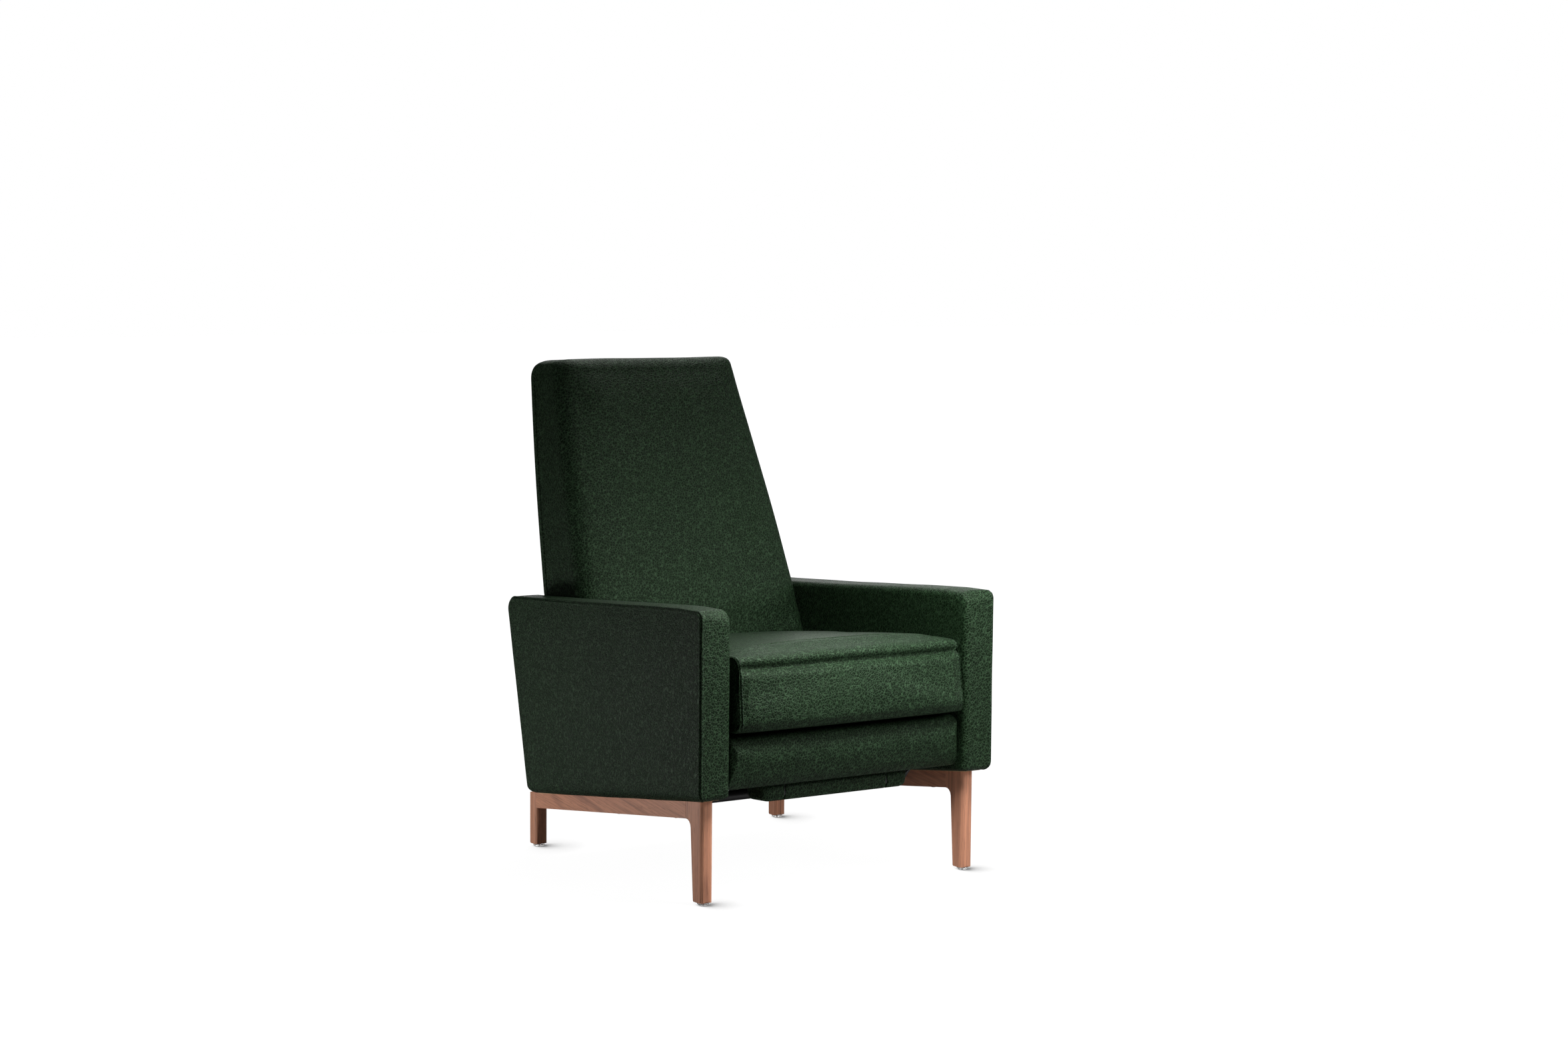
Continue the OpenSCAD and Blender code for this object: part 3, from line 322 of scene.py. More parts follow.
deep_timber = sawn("timber_front_to_back", (math.radians(90.0), 0.0, 0.0))
cross_timber = sawn("timber_across", (0.0, math.radians(90.0), 0.0))
tall_timber = sawn("timber_upright", (math.radians(16.6), 0.0, 0.0))
dress(deep_timber, "arm_panel_left", "arm_panel_right", "seat_side_rails")
dress(cross_timber, "seat_cross_rails", "back_cross_rails", "footrest_board", "flip_board")
dress(tall_timber, "back_side_rails")

# Mechanism.
# Pressed steel plates, links and tubes, painted black before assembly, turning on zinc
# plated rivets and bolts. The paint has a fine orange peel and is rubbed at the edges.
paint = Finish("black_paint")
peel = paint.noise(paint.place(), 500.0, 3.0, 0.6)
rub = paint.noise(paint.place(), 35.0, 4.0, 0.7).fade(0.62, 0.8)
paint.set(
    Base_Color=paint.mix(rub, (0.012, 0.012, 0.013), (0.045, 0.044, 0.043)),
    Roughness=peel * 0.2 + rub * 0.15 + 0.3,
    Normal=paint.bump(peel, 0.0001, 0.35),
)
dress(
    paint.material,
    "base_plate_left", "base_plate_right", "base_cross_tube", "front_carrier_links", "rear_carrier_links",
    "seat_plate_left", "seat_plate_right", "back_bracket_left", "back_bracket_right",
    "footrest_rear_links", "footrest_front_links", "footrest_outer_links", "footrest_cross_tube",
    "footrest_brace_links", "footrest_bracket_left", "footrest_bracket_right",
    "flip_hinge_plates", "flip_hinge_arms",
)
dress(
    zinc.material,
    "rail_bolts", "base_plate_bolts", "base_pivot_pins", "seat_plate_screws", "seat_pivot_pins",
    "seat_springs", "back_springs", "back_bracket_bolts", "brace_link_pins", "outer_link_pins",
    "footrest_bracket_pins", "footrest_screws", "flip_hinge_pins", "flip_arm_screws",
)

# Dust cover under the seat.
# Thin black woven cloth, stapled to the underside of the seat rails. A short hem hangs
# from its front edge and hides the springs.
cloth = Finish("black_cambric")
spot = cloth.place()
warp = cloth.node("SeparateXYZ", inputs={"Vector": cloth.mapped(spot, scale=(2600.0, 2600.0, 1.0))})
weft = Wire(cloth.tree, warp.socket.node.outputs[1])
weave = warp.math("SINE", warp) * weft.math("SINE", weft)
slub = cloth.noise(spot, 160.0, 3.0)
cloth.set(
    Base_Color=cloth.mix(slub, (0.004, 0.004, 0.004), (0.012, 0.012, 0.012)),
    Roughness=weave * 0.05 + 0.88,
    Normal=cloth.bump(weave + slub, 0.0002, 0.5),
)
dress(cloth.material, "seat_dust_cover")
HEM_HALF = 268.0
HEM_LOW = 331.4
HEM_FALL = 7.0
HEM_FALL_FROM = 261.0
HEM_FALL_RUN = 7.0
HEM_TOP = 343.4
RAIL_X = 241.7
RAIL_TOP = 341.2
HEM_Y = 62.4
HEM_T = 0.8
MIRRORED = [0, 3, 2, 1]


def hem_loops():
    """Four corners of the hem's cross-section at each x.

    Two sine waves make its lower edge uneven, and it hangs lower inside its ends.
    """
    at_rail = [side * (RAIL_X + step) for side in (-1.0, 1.0) for step in (-0.5, 0.5)]
    x = np.sort(np.concatenate([np.linspace(-HEM_HALF, HEM_HALF, 121), at_rail]))
    wave = 0.35 * np.sin(x / 9.5 + 0.7) + 0.2 * np.sin(x / 3.7)
    low = HEM_LOW + wave - HEM_FALL * np.clip((HEM_FALL_FROM - np.abs(x)) / HEM_FALL_RUN, 0.0, 1.0)
    top = np.where(np.abs(x) < RAIL_X, HEM_TOP, RAIL_TOP)
    y = HEM_Y + 0.6 * wave
    corners = ((y, low), (y, top), (y + HEM_T, top), (y + HEM_T, low))
    return np.stack([np.stack([x, depth, height], 1) for depth, height in corners], 1)


loops = hem_loops()
far_end = 4 * (len(loops) - 1)
hem_faces = tube(len(loops), 4)[:, MIRRORED].tolist()
hem_faces += [[0, 1, 2, 3], [far_end + 3, far_end + 2, far_end + 1, far_end]]
hem_points = metres(loops.reshape(-1, 3))
hem = piece("dust_cover_hem", hem_points, hem_faces, cloth.material, "seat", False)

# Arm covers.
# Dark green pebbled leather over foam on the arm panels. A side panel, a front panel and
# a top panel meet in a topstitched seam along the outer edge and a plain one across the front.


def unit(v):
    """Vectors divided by their lengths."""
    return v / np.linalg.norm(v, axis=-1, keepdims=True)


def outline(corners, radii, arc, runs):
    """Closed outline [y, z] of a polygon with rounded corners.

    Corner i turns through an arc of its radius, then side i runs on in its count of steps.
    """
    c = np.asarray(corners, float)
    r = np.asarray(radii, float)
    back = unit(np.roll(c, 1, 0) - c)
    ahead = unit(np.roll(c, -1, 0) - c)
    half = np.arccos(np.clip((back * ahead).sum(1), -1.0, 1.0)) / 2.0
    middle = c + unit(back + ahead) * (r / np.sin(half))[:, None]
    first = c + back * (r / np.tan(half))[:, None] - middle
    last = c + ahead * (r / np.tan(half))[:, None] - middle
    start = np.arctan2(first[:, 1], first[:, 0])
    turn = (np.arctan2(last[:, 1], last[:, 0]) - start + 3.0 * np.pi) % (2.0 * np.pi) - np.pi
    angle = start[:, None] + turn[:, None] * np.linspace(0.0, 1.0, arc + 1)
    bends = middle[:, None] + r[:, None, None] * np.stack([np.cos(angle), np.sin(angle)], 2)
    parts = []
    for i, n in enumerate(runs):
        step = np.arange(1, n)[:, None] / n
        parts += [bends[i], bends[i][-1] + (bends[(i + 1) % len(c)][0] - bends[i][-1]) * step]
    return np.concatenate(parts)


def inset(corners, moves):
    """Outline corners after side i moves inwards by moves[i]."""
    c = np.asarray(corners, float)
    e2 = np.asarray(moves, float)
    e1 = np.roll(e2, 1)
    u = unit(c - np.roll(c, 1, 0))
    w = unit(np.roll(c, -1, 0) - c)
    nu = np.stack([-u[:, 1], u[:, 0]], 1)
    nw = np.stack([-w[:, 1], w[:, 0]], 1)
    run = (e2 - e1 * (nu * nw).sum(1)) / (nw * u).sum(1)
    return c + e1[:, None] * nu + u * run[:, None]


def skin(name, rings, material, body):
    """Closed skin over a grid of rings [ring, around, xyz] in millimetres."""
    ends = np.stack([rings[0].mean(0), rings[-1].mean(0)])
    points = np.concatenate([rings.reshape(-1, 3), ends])
    return piece(name, metres(points), skin_faces(*rings.shape[:2]), material, body)


def outward(rings):
    """Unit normals of a grid of rings, from its slopes along and around."""
    along = np.gradient(rings, axis=0)
    around = (np.roll(rings, -1, 1) - np.roll(rings, 1, 1)) / 2.0
    across = np.cross(around, along)
    size = np.linalg.norm(across, axis=2, keepdims=True)
    return across / np.maximum(size, 1e-9)


def ridge(distance, width):
    """Bell curve: 1 on the line, about a third at the width."""
    return np.exp(-((distance / width) ** 2))


def rise(value, low, high):
    """Smooth step from 0 at low to 1 at high."""
    t = np.clip((value - low) / (high - low), 0.0, 1.0)
    return t * t * (3.0 - 2.0 * t)


def handwork(rings, size, length, seed):
    """Slow uneven swells of hand-fitted leather: a few sine waves in seeded directions."""
    draw = np.random.default_rng(seed)
    total = np.zeros(rings.shape[:2])
    for _ in range(7):
        way = unit(draw.normal(size=3)) * 2.0 * np.pi / (length * draw.uniform(0.7, 1.6))
        total += np.sin(rings @ way + draw.uniform(0.0, 6.28))
    return size * total / 7.0


def leather(name):
    """Pebbled hide: dark domed cells of two sizes, drawn out on a slant, between paler borders.

    The borders' paler colour is a painted highlight that stands in for the glints at the pebbles'
    edges. The cells' height rises smoothly from their borders, and patches of noise leave some
    borders' painted highlight faint.
    """
    hide = Finish(name)
    spot = hide.place()
    stir = hide.noise(spot, 120.0, 2.0, 0.6, out=1)
    pull = hide.node("VectorMath", {"operation": "MULTIPLY_ADD"}, {0: stir, 1: (0.005,) * 3, 2: spot})
    slant = (math.radians(26.0), math.radians(29.0), 0.0)
    lean = hide.mapped(pull, turn=slant, scale=(0.84, 0.84, 1.30), kind="TEXTURE")
    cells = hide.node("TexVoronoi", {"feature": "DISTANCE_TO_EDGE"}, {"Vector": lean, "Scale": 168.0})
    small = hide.node("TexVoronoi", {"feature": "DISTANCE_TO_EDGE"}, {"Vector": lean, "Scale": 320.0})
    patch = hide.noise(spot, 9.0, 2.0, 0.5)
    drawn_out = hide.mapped(spot, turn=slant, scale=(1.0, 1.0, 2.2), kind="TEXTURE")
    fleck = hide.noise(drawn_out, 170.0, 2.0, 0.5)
    # Paler borders of the large and small cells: a painted highlight for the glints along the pebbles'
    # edges.
    border_glint = cells.fade(0.15, 0.01) * (fleck.fade(0.30, 0.66) * 0.6 + 0.4)
    fine_border_glint = small.fade(0.13, 0.01) * fleck.fade(0.35, 0.70)
    painted_glints = (border_glint + fine_border_glint * 0.3).capped(1.0)
    tone = hide.mix(patch.fade(0.3, 0.7), (0.0011, 0.0060, 0.0012), (0.0019, 0.0084, 0.0018))
    relief = cells.fade(0.0, 0.30) + small.fade(0.0, 0.25) * 0.35
    # Base Color mixes the painted highlight of the borders over the hide's own tone.
    hide.set(
        Base_Color=hide.mix(painted_glints, tone, (0.028, 0.058, 0.028)),
        Roughness=0.50 - painted_glints * 0.08 + patch * 0.05,
        Specular_IOR_Level=0.15,
        Specular_Tint=(0.80, 1.0, 0.76),
        Normal=hide.bump(relief, 0.0008, 0.9),
    )
    return hide.material


hide = leather("green_leather")
thread = Finish("green_thread")
ply = thread.noise(thread.place(), 1500.0, 2.0)
thread.set(
    Base_Color=thread.mix(ply, (0.012, 0.030, 0.018), (0.035, 0.070, 0.042)),
    Roughness=ply * 0.2 + 0.55,
)

STITCH_L = 4.2
STITCH_GAP = 1.6
STITCH_R = 0.45
STITCH_SINK = 0.15
STITCH_SIDES = 6


def sewn(name, lines, body):
    """Row of thread stitches along each line [points, outward normals] in millimetres.

    Each stitch is a thin six-sided rod, thickest in its middle, that dips at both ends.
    """
    points, faces = [], []
    t = np.array([0.0, 0.18, 0.5, 0.82, 1.0])
    lift = np.array([-0.9, 0.2, 0.45, 0.2, -0.9]) * STITCH_R - STITCH_SINK
    width = np.array([0.45, 0.95, 1.0, 0.95, 0.45]) * STITCH_R
    angle = np.linspace(0.0, 2.0 * np.pi, STITCH_SIDES, endpoint=False)
    corner = np.arange(STITCH_SIDES)
    far_end = (len(t) - 1) * STITCH_SIDES
    for path, normals in lines:
        run = np.concatenate([[0.0], np.cumsum(np.linalg.norm(np.diff(path, axis=0), axis=1))])
        starts = np.arange(STITCH_GAP, run[-1] - STITCH_L, STITCH_L + STITCH_GAP)
        along = starts[:, None] + t * STITCH_L
        at = np.stack([np.interp(along, run, path[:, k]) for k in range(3)], 2)
        up = unit(np.stack([np.interp(along, run, normals[:, k]) for k in range(3)], 2))
        way = unit(np.gradient(at, axis=1))
        flank = unit(np.cross(way, up))
        centre = at + up * lift[None, :, None]
        ring = np.cos(angle)[:, None] * flank[:, :, None] + np.sin(angle)[:, None] * up[:, :, None]
        rods = centre[:, :, None] + width[None, :, None, None] * ring
        count = len(t) * STITCH_SIDES
        base = sum(len(p) for p in points) + np.arange(len(starts))[:, None, None] * count
        faces += (base + tube(len(t), STITCH_SIDES)[:, MIRRORED]).reshape(-1, 4).tolist()
        faces += (base[:, :, 0] + corner).tolist()
        faces += (base[:, :, 0] + far_end + corner[::-1]).tolist()
        points.append(rods.reshape(-1, 3))
    return piece(name, metres(np.concatenate(points)), faces, thread.material, body)


ARM_IN = 289.0
ARM_OUT = 362.0
ARM_LOW = 215.0
ARM_HIGH = 590.0
ARM_CORNERS = [(0.0, ARM_LOW), (683.0, 125.08), (777.0, 542.0), (0.0, ARM_HIGH)]
ARM_RADII = np.array([8.0, 20.0, 28.0, 12.0])
ARM_RUNS = (84, 54, 96, 64)
ARM_ARC = 12
ARM_CROWN = 4.0
ARM_FULL = 3.4
ARM_UNDER = 1.2
UNDER_SHARE = 0.6
OUTER_DOME = 3.0
SOFT_EDGE = 12.0
SEAM_EDGE = 4.0
LOW_OUTER_R = 18.0
LOW_OUTER_FROM = 330.0
LOW_INNER_R = 7.0
INNER_PANEL = -60.0
FRONT_SEAM = 584.5
FRONT_SEAM_RISE = 4.0
ARM_STITCH = 5.6


def arm_ring(x, e, under=ARM_UNDER):
    """Arm outline at width x, moved in by e and its bottom by a share of that and by under.

    The top is crowned across and most at the front, swells behind the front corner, and the
    front corner's radius grows towards the inner side.
    """
    corners = inset(ARM_CORNERS, [under + e * UNDER_SHARE, e, e, e])
    inward = min(1.0, max(0.0, (ARM_OUT - SEAM_EDGE - x) / 34.0))
    radii = ARM_RADII + [4.0, 0.0, 0.0, 3.0 + 10.0 * inward]
    ring = outline(corners, np.maximum(3.0, radii - e), ARM_ARC, ARM_RUNS)
    y, z = ring[:, 0], ring[:, 1]
    across = (2.0 * x - ARM_IN - ARM_OUT) / (ARM_OUT - ARM_IN)
    up = np.maximum(0.0, (z - ARM_LOW) / (ARM_HIGH - ARM_LOW))
    crown = ARM_CROWN * (1.0 - across * across) * up * (1.0 - 0.8 * y / ARM_CORNERS[2][0])
    full = ARM_FULL * rise(y, 5.0, 95.0) * rise(-y, -560.0, -120.0) * rise(z, 480.0, 560.0)
    return np.column_stack([np.full(len(ring), x), y, z + crown + full])


def arm_cover():
    """Right arm as rings from the inner panel to the outer, with each ring's travel from the seam.

    The inner edge is a soft quarter circle and the outer edge a tight one, with the seam sunk in
    its middle between two swells. The outer panel is domed, and both panels curl in at the
    bottom. A second sunk seam crosses the front below the top.
    """
    rows, places = [], []

    def add(x, e, place):
        rows.append(arm_ring(x, e))
        places.append(place)

    band_end = ARM_OUT - SEAM_EDGE
    quarter = SEAM_EDGE * math.pi / 4.0
    inner = arm_ring(ARM_IN, SOFT_EDGE, 0.0)
    centre = inner.mean(0)
    for s in np.linspace(0.03, 1.0, 16)[:-1]:
        rows.append(centre + (inner - centre) * s)
        places.append(INNER_PANEL)
    for a in np.radians(np.arange(0.0, 90.0, 11.25)):
        add(ARM_IN + SOFT_EDGE * (1.0 - math.cos(a)), SOFT_EDGE * (1.0 - math.sin(a)), INNER_PANEL)
    near = [9.0, 7.5, 6.2, 5.2, 4.4, 3.7, 3.1, 2.6, 2.1, 1.6, 1.1, 0.6, 0.0]
    for x in list(np.linspace(ARM_IN + SOFT_EDGE, band_end - 12.0, 10)) + [band_end - n for n in near]:
        add(x, 0.0, x - band_end - quarter)
    for a in np.radians(np.arange(11.25, 90.1, 11.25)):
        add(band_end + SEAM_EDGE * math.sin(a), SEAM_EDGE * (1.0 - math.cos(a)), SEAM_EDGE * a - quarter)
    for e in (0.6, 1.3, 2.0, 2.8, 3.7, 4.8, 6.2, 8.0, 10.5, 14.0):
        add(ARM_OUT, SEAM_EDGE + e, quarter + e)
    edge, reached = rows[-1], places[-1]
    centre = edge.mean(0)
    for s in 1.0 - np.linspace(0.0, 1.0, 34)[1:] ** 0.9 * 0.985:
        rows.append(centre + (edge - centre) * s)
        places.append(reached + (1.0 - s) * 190.0)
    rings, side = np.stack(rows), np.array(places)[:, None]
    rings[:, :, 0] += OUTER_DOME * (1.0 - np.exp(-np.maximum(side - quarter, 0.0) / 45.0))
    slope = (ARM_CORNERS[1][1] - ARM_LOW) / ARM_CORNERS[1][0]
    above = rings[:, :, 2] - (ARM_LOW + slope * rings[:, :, 1])
    curls = ((LOW_OUTER_R, LOW_OUTER_FROM, ARM_OUT), (LOW_INNER_R, ARM_IN + SOFT_EDGE, ARM_IN))
    for radius, start, end in curls:
        share = np.clip((rings[:, :, 0] - start) / (end - start), 0.0, 1.05)
        curl = radius * (1.0 - np.sqrt(1.0 - np.clip(1.0 - above / radius, 0.0, 1.0) ** 2))
        rings[:, :, 0] -= math.copysign(1.0, end - start) * share * curl
    x, y, z = rings[:, :, 0], rings[:, :, 1], rings[:, :, 2]
    seam = -2.3 * ridge(side, 1.1) + 0.9 * ridge(side + 3.1, 1.6) + 0.6 * ridge(side - 3.4, 1.9)
    shape = seam * rise(z, 128.0, 150.0)
    cross = z - (FRONT_SEAM + FRONT_SEAM_RISE * (x - ARM_IN) / (ARM_OUT - ARM_IN))
    band = rise(side, -64.0, -60.0) * rise(-side, 0.5, 2.0)
    shape += np.where((y < 14.0) & (z > 560.0), -1.1 * ridge(cross, 1.3) * band, 0.0)
    shape += handwork(rings, 0.7, 150.0, 4)
    return rings + outward(rings) * shape[:, :, None], side[:, 0]


arm, arm_side = arm_cover()
topstitch = int(np.argmin(np.abs(arm_side + ARM_STITCH)))
stitched_y, stitched_z = arm[topstitch][:, 1], arm[topstitch][:, 2]
seam_path = np.flatnonzero((stitched_y < 2.0) & (stitched_z > ARM_LOW - 1.0) | (stitched_z > 540.0))
breaks = np.flatnonzero(np.diff(seam_path) > 1)
if len(breaks):
    seam_path = np.roll(seam_path, -breaks[-1] - 1)
for side, flip in (("right", 1.0), ("left", -1.0)):
    rings = arm if flip > 0 else arm[::-1] * [-1.0, 1.0, 1.0]
    cover = skin("arm_leather_" + side, rings, hide, "base")
    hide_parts("arm_cover_" + side)
    row = topstitch if flip > 0 else len(arm) - 1 - topstitch
    normals = outward(rings)[row]
    sewn("arm_topstitch_" + side, [(rings[row][seam_path], normals[seam_path])], "base")

# Seat cushion.
# Leather over foam on springs: a crowned top that rolls over a drawn crease into a full
# front band, with side panels sewn on and topstitched along the front edges.
BAG_STEPS = 20
BAG_PRESSURE = 4.0


def puffed(name, rings, hold, cap):
    """How far air pressure swells a closed skin of cloth, held where hold is 1.

    Each push is shortened to the cap times the hyperbolic tangent of its share of the cap.
    """
    count = rings.shape[0] * rings.shape[1]
    ends = np.stack([rings[0].mean(0), rings[-1].mean(0)])
    points = np.concatenate([rings.reshape(-1, 3), ends]) / 1000.0
    mesh = bpy.data.meshes.new(name)
    mesh.from_pydata(points.tolist(), [], skin_faces(*rings.shape[:2]))
    bag = bpy.data.objects.new(name, mesh)
    bpy.context.scene.collection.objects.link(bag)
    group = bag.vertex_groups.new(name="held")
    weights = np.concatenate([hold.ravel(), [hold[0].mean(), hold[-1].mean()]])
    for level in np.unique(np.round(weights, 1)):
        if level > 0.0:
            group.add(np.flatnonzero(np.round(weights, 1) == level).tolist(), float(level), "REPLACE")
    swell = bag.modifiers.new("swell", "CLOTH")
    swell.settings.quality = 6
    swell.settings.mass = 0.4
    swell.settings.tension_stiffness = 25.0
    swell.settings.compression_stiffness = 25.0
    swell.settings.shear_stiffness = 12.0
    swell.settings.bending_stiffness = 1.5
    swell.settings.use_pressure = True
    swell.settings.uniform_pressure_force = BAG_PRESSURE
    swell.settings.vertex_group_mass = "held"
    swell.settings.pin_stiffness = 1.0
    swell.settings.effector_weights.gravity = 0.0
    swell.collision_settings.use_collision = False
    swell.point_cache.frame_start = 1
    swell.point_cache.frame_end = BAG_STEPS
    for step in range(1, BAG_STEPS + 1):
        bpy.context.scene.frame_set(step)
    shaped = bag.evaluated_get(bpy.context.evaluated_depsgraph_get())
    moved = np.zeros(len(mesh.vertices) * 3)
    shaped.data.vertices.foreach_get("co", moved)
    bpy.context.scene.frame_set(1)
    bpy.data.objects.remove(bag)
    bpy.data.meshes.remove(mesh)
    push = (moved.reshape(-1, 3)[:count] - points[:count]) * 1000.0
    size = np.maximum(np.linalg.norm(push, axis=1, keepdims=True), 1e-6)
    push *= cap * np.tanh(size / cap) / size
    return calmed(push.reshape(rings.shape), 5) * (1.0 - hold)[:, :, None]


def calmed(field, passes):
    """Field averaged with its neighbours along and around, closed around, a number of times."""
    for _ in range(passes):
        around = (np.roll(field, 1, 1) + np.roll(field, -1, 1)) / 2.0
        field = (field + around) / 2.0
        wide = np.concatenate([field[:1], field, field[-1:]])
        field = (field + (wide[:-2] + wide[2:]) / 2.0) / 2.0
    return field


def between(field, along, around, new_along, new_around):
    """Coarse field read at finer ring and around positions, linear both ways and closed around."""
    closed = np.concatenate([field, field[:, :1]], 1)
    a = np.interp(new_along, along, np.arange(len(along)))
    b = np.interp(new_around, around, np.arange(len(around)))
    i = np.minimum(a.astype(int), len(along) - 2)
    j = np.minimum(b.astype(int), len(around) - 2)
    s = (a - i)[:, None, None]
    t = (b - j)[None, :, None]
    low = closed[i][:, j] * (1 - t) + closed[i][:, j + 1] * t
    high = closed[i + 1][:, j] * (1 - t) + closed[i + 1][:, j + 1] * t
    return low * (1 - s) + high * s


SEAT_HALF = 280.0
SEAT_EDGE = 6.0
SEAT_CORNERS = [(-22.0, 343.0), (548.0, 345.0), (548.0, 447.0), (70.0, 495.0), (-14.0, 497.0)]
SEAT_RADII = np.array([24.0, 6.0, 26.0, 60.0, 30.0])
SEAT_MOVES = np.array([4.0, 6.0, 12.0, 9.0, 5.0])
SEAT_UNDER = 1.2
SEAT_CROWN = 12.0
SEAT_BOW = 3.0
SEAT_ENDS_BACK = 6.0
SEAT_LOW = 352.0
SEAT_STITCH = 9.4
COARSE_CAP = [0.85, 0.65, 0.4, 0.12]
FINE_CAP = list(np.linspace(1.0, 0.0, 22)[1:-1] ** 0.9) + [0.03]


def seat_ring(x, f, arc, runs):
    """Seat profile at width x, moved in by the share f of the edge's insets.

    The top is crowned and the front bowed by parabolas across the width, and the front's two
    ends are set back by a twelfth power of it.
    """
    u = x / SEAT_HALF
    moves = SEAT_MOVES * f + [SEAT_UNDER, 0.0, 0.0, 0.0, 0.0]
    radii = np.maximum(3.0, SEAT_RADII * (1.0 - 0.4 * f))
    ring = outline(inset(SEAT_CORNERS, moves), radii, arc, runs)
    y, z = ring[:, 0], ring[:, 1]
    lift = np.clip((z - 345.0) / 90.0, 0, 1) * np.clip((y + 14.0) / 70.0, 0, 1)
    bow = (SEAT_BOW * (1.0 - u * u) - SEAT_ENDS_BACK * u ** 12) * np.clip((40.0 - y) / 40.0, 0, 1)
    return np.column_stack([np.full(len(ring), x), y - bow, z + SEAT_CROWN * (1.0 - u * u) * lift])


def seat_grid(middle, edge, cap, arc, runs):
    """Rings from the left panel's middle over the band to the right panel's.

    The edges are quarter turns and the panels shrink to their middles. With each ring comes its
    travel from the seam, negative on the band.
    """
    band = [(x, 0.0, None) for x in middle]
    turn = np.linspace(0.0, 1.0, edge + 1)[1:] * math.pi / 2.0
    right = [(SEAT_HALF - SEAT_EDGE * (1.0 - math.sin(a)), 1.0 - math.cos(a), None) for a in turn]
    right += [(SEAT_HALF, 1.0, s) for s in cap]
    rows = [(-x, f, s) for x, f, s in reversed(right)] + band + right
    rings, side = [], []
    for x, f, s in rows:
        ring = seat_ring(x, f, arc, runs)
        if s is not None:
            centre = ring.mean(0)
            ring = centre + (ring - centre) * s
            side.append((1.0 - s) * 75.0)
        else:
            side.append(-(SEAT_HALF - abs(x)))
        rings.append(ring)
    return np.stack(rings), np.array(side)


def shares(arc, runs):
    """Place of each outline point, counted in corners and sides, so coarse and fine ones match."""
    parts = []
    for i, n in enumerate(runs):
        parts += [2 * i + np.arange(arc + 1) / (arc + 1.0), 2 * i + 1 + np.arange(1, n) / n]
    return np.concatenate(parts + [[2.0 * len(runs)]])


def order(middle, edge, cap):
    """Place of each ring across: caps, edges and the middle each take one, coarse or fine."""
    cap_part = np.arange(cap) / cap
    edge_part = 1.0 + np.arange(edge) / edge
    mid_part = 2.0 + (middle - middle[0]) / (middle[-1] - middle[0])
    tail = 3.0 + (np.arange(edge) + 1.0) / edge
    last = 4.0 + (np.arange(cap) + 1.0) / cap
    return np.concatenate([cap_part, edge_part, mid_part, tail, last])


def seat_cushion():
    """The seat's rings, each one's travel from the seam, and the rings before they are filled.

    A coarse skin is puffed up and its push carried to the fine one. On that, a step of the height
    draws in the crease, bell curves make the roll over it and the side seams, and half a sine
    wave fills the front band.
    """
    coarse_runs, fine_runs = (40, 9, 34, 5, 12), (100, 22, 100, 14, 44)
    limit = SEAT_HALF - SEAT_EDGE
    coarse_middle = np.linspace(-limit, limit, 38)
    coarse, _ = seat_grid(coarse_middle, 3, COARSE_CAP, 3, coarse_runs)
    tight = 1.0 - rise(coarse[:, :, 2], SEAT_LOW, 380.0)
    tight = np.maximum(tight, rise(coarse[:, :, 1], 500.0, 540.0))
    push = puffed("seat_bag", coarse, tight, 9.0)
    near = limit - np.array([0.7, 1.4, 2.1, 2.8, 3.5, 4.3, 5.2, 6.2, 7.4, 8.8, 10.5, 13.0])
    even = np.linspace(16.0 - limit, limit - 16.0, 104)
    middle = np.sort(np.concatenate([even, near, -near, [limit, -limit]]))
    fine, side = seat_grid(middle, 10, FINE_CAP, 9, fine_runs)
    push = between(
        push, order(coarse_middle, 3, len(COARSE_CAP)), shares(3, coarse_runs),
        order(middle, 10, len(FINE_CAP)), shares(9, fine_runs)[:-1],
    )
    rings = fine + push * [0.6, 0.9, 0.75]
    n = outward(rings)
    rings = rings - n * (3.2 * (1.0 - (fine[:, :, 2] < SEAT_LOW)))[:, :, None]
    y, z = fine[:, :, 1], fine[:, :, 2]
    s = side[:, None]
    front = rise(-y, -45.0, -15.0)
    ends = rise(-s, 3.0, 28.0)
    drawn = rise(-z, -487.0, -479.0) * (1.0 - rise(-z, -479.0, -454.0))
    crease = -13.0 * drawn * rise(-y, -30.0, 5.0) * (0.45 + 0.55 * ends)
    roll = 3.5 * ridge(z - 491.0, 9.0) * rise(-y, -50.0, -5.0) * ends
    belly = 4.0 * np.sin(np.pi * np.clip((z - 350.0) / 132.0, 0, 1)) ** 0.7 * front * ends
    seam = -1.8 * ridge(s + 6.0, 1.1) + 0.8 * ridge(s + 3.2, 1.3) + 0.9 * ridge(s + SEAT_STITCH, 1.8)
    seam = seam * rise(z, SEAT_LOW, 360.0) * rise(-y, -300.0, -240.0)
    swell = handwork(rings, 1.1, 130.0, 11) * rise(z, 350.0, 380.0)
    rings = rings + n * (crease + roll + belly + seam + swell)[:, :, None]
    return rings, side, fine


seat, seat_side, seat_plain = seat_cushion()
seat_cover = skin("seat_leather", seat, hide, "seat")
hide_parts("seat_cushion")
seat_normals = outward(seat)
lines = []
for side in (-1.0, 1.0):
    other_side = seat_plain[:, 0, 0] * side < 0.0
    row = int(np.argmin(np.abs(seat_side + SEAT_STITCH) + 1000.0 * other_side))
    ring = seat_plain[row]
    k = np.flatnonzero((ring[:, 1] < 30.0) & (ring[:, 2] > 356.0))
    lines.append((seat[row][k], seat_normals[row][k]))
sewn("seat_topstitch", lines, "seat")

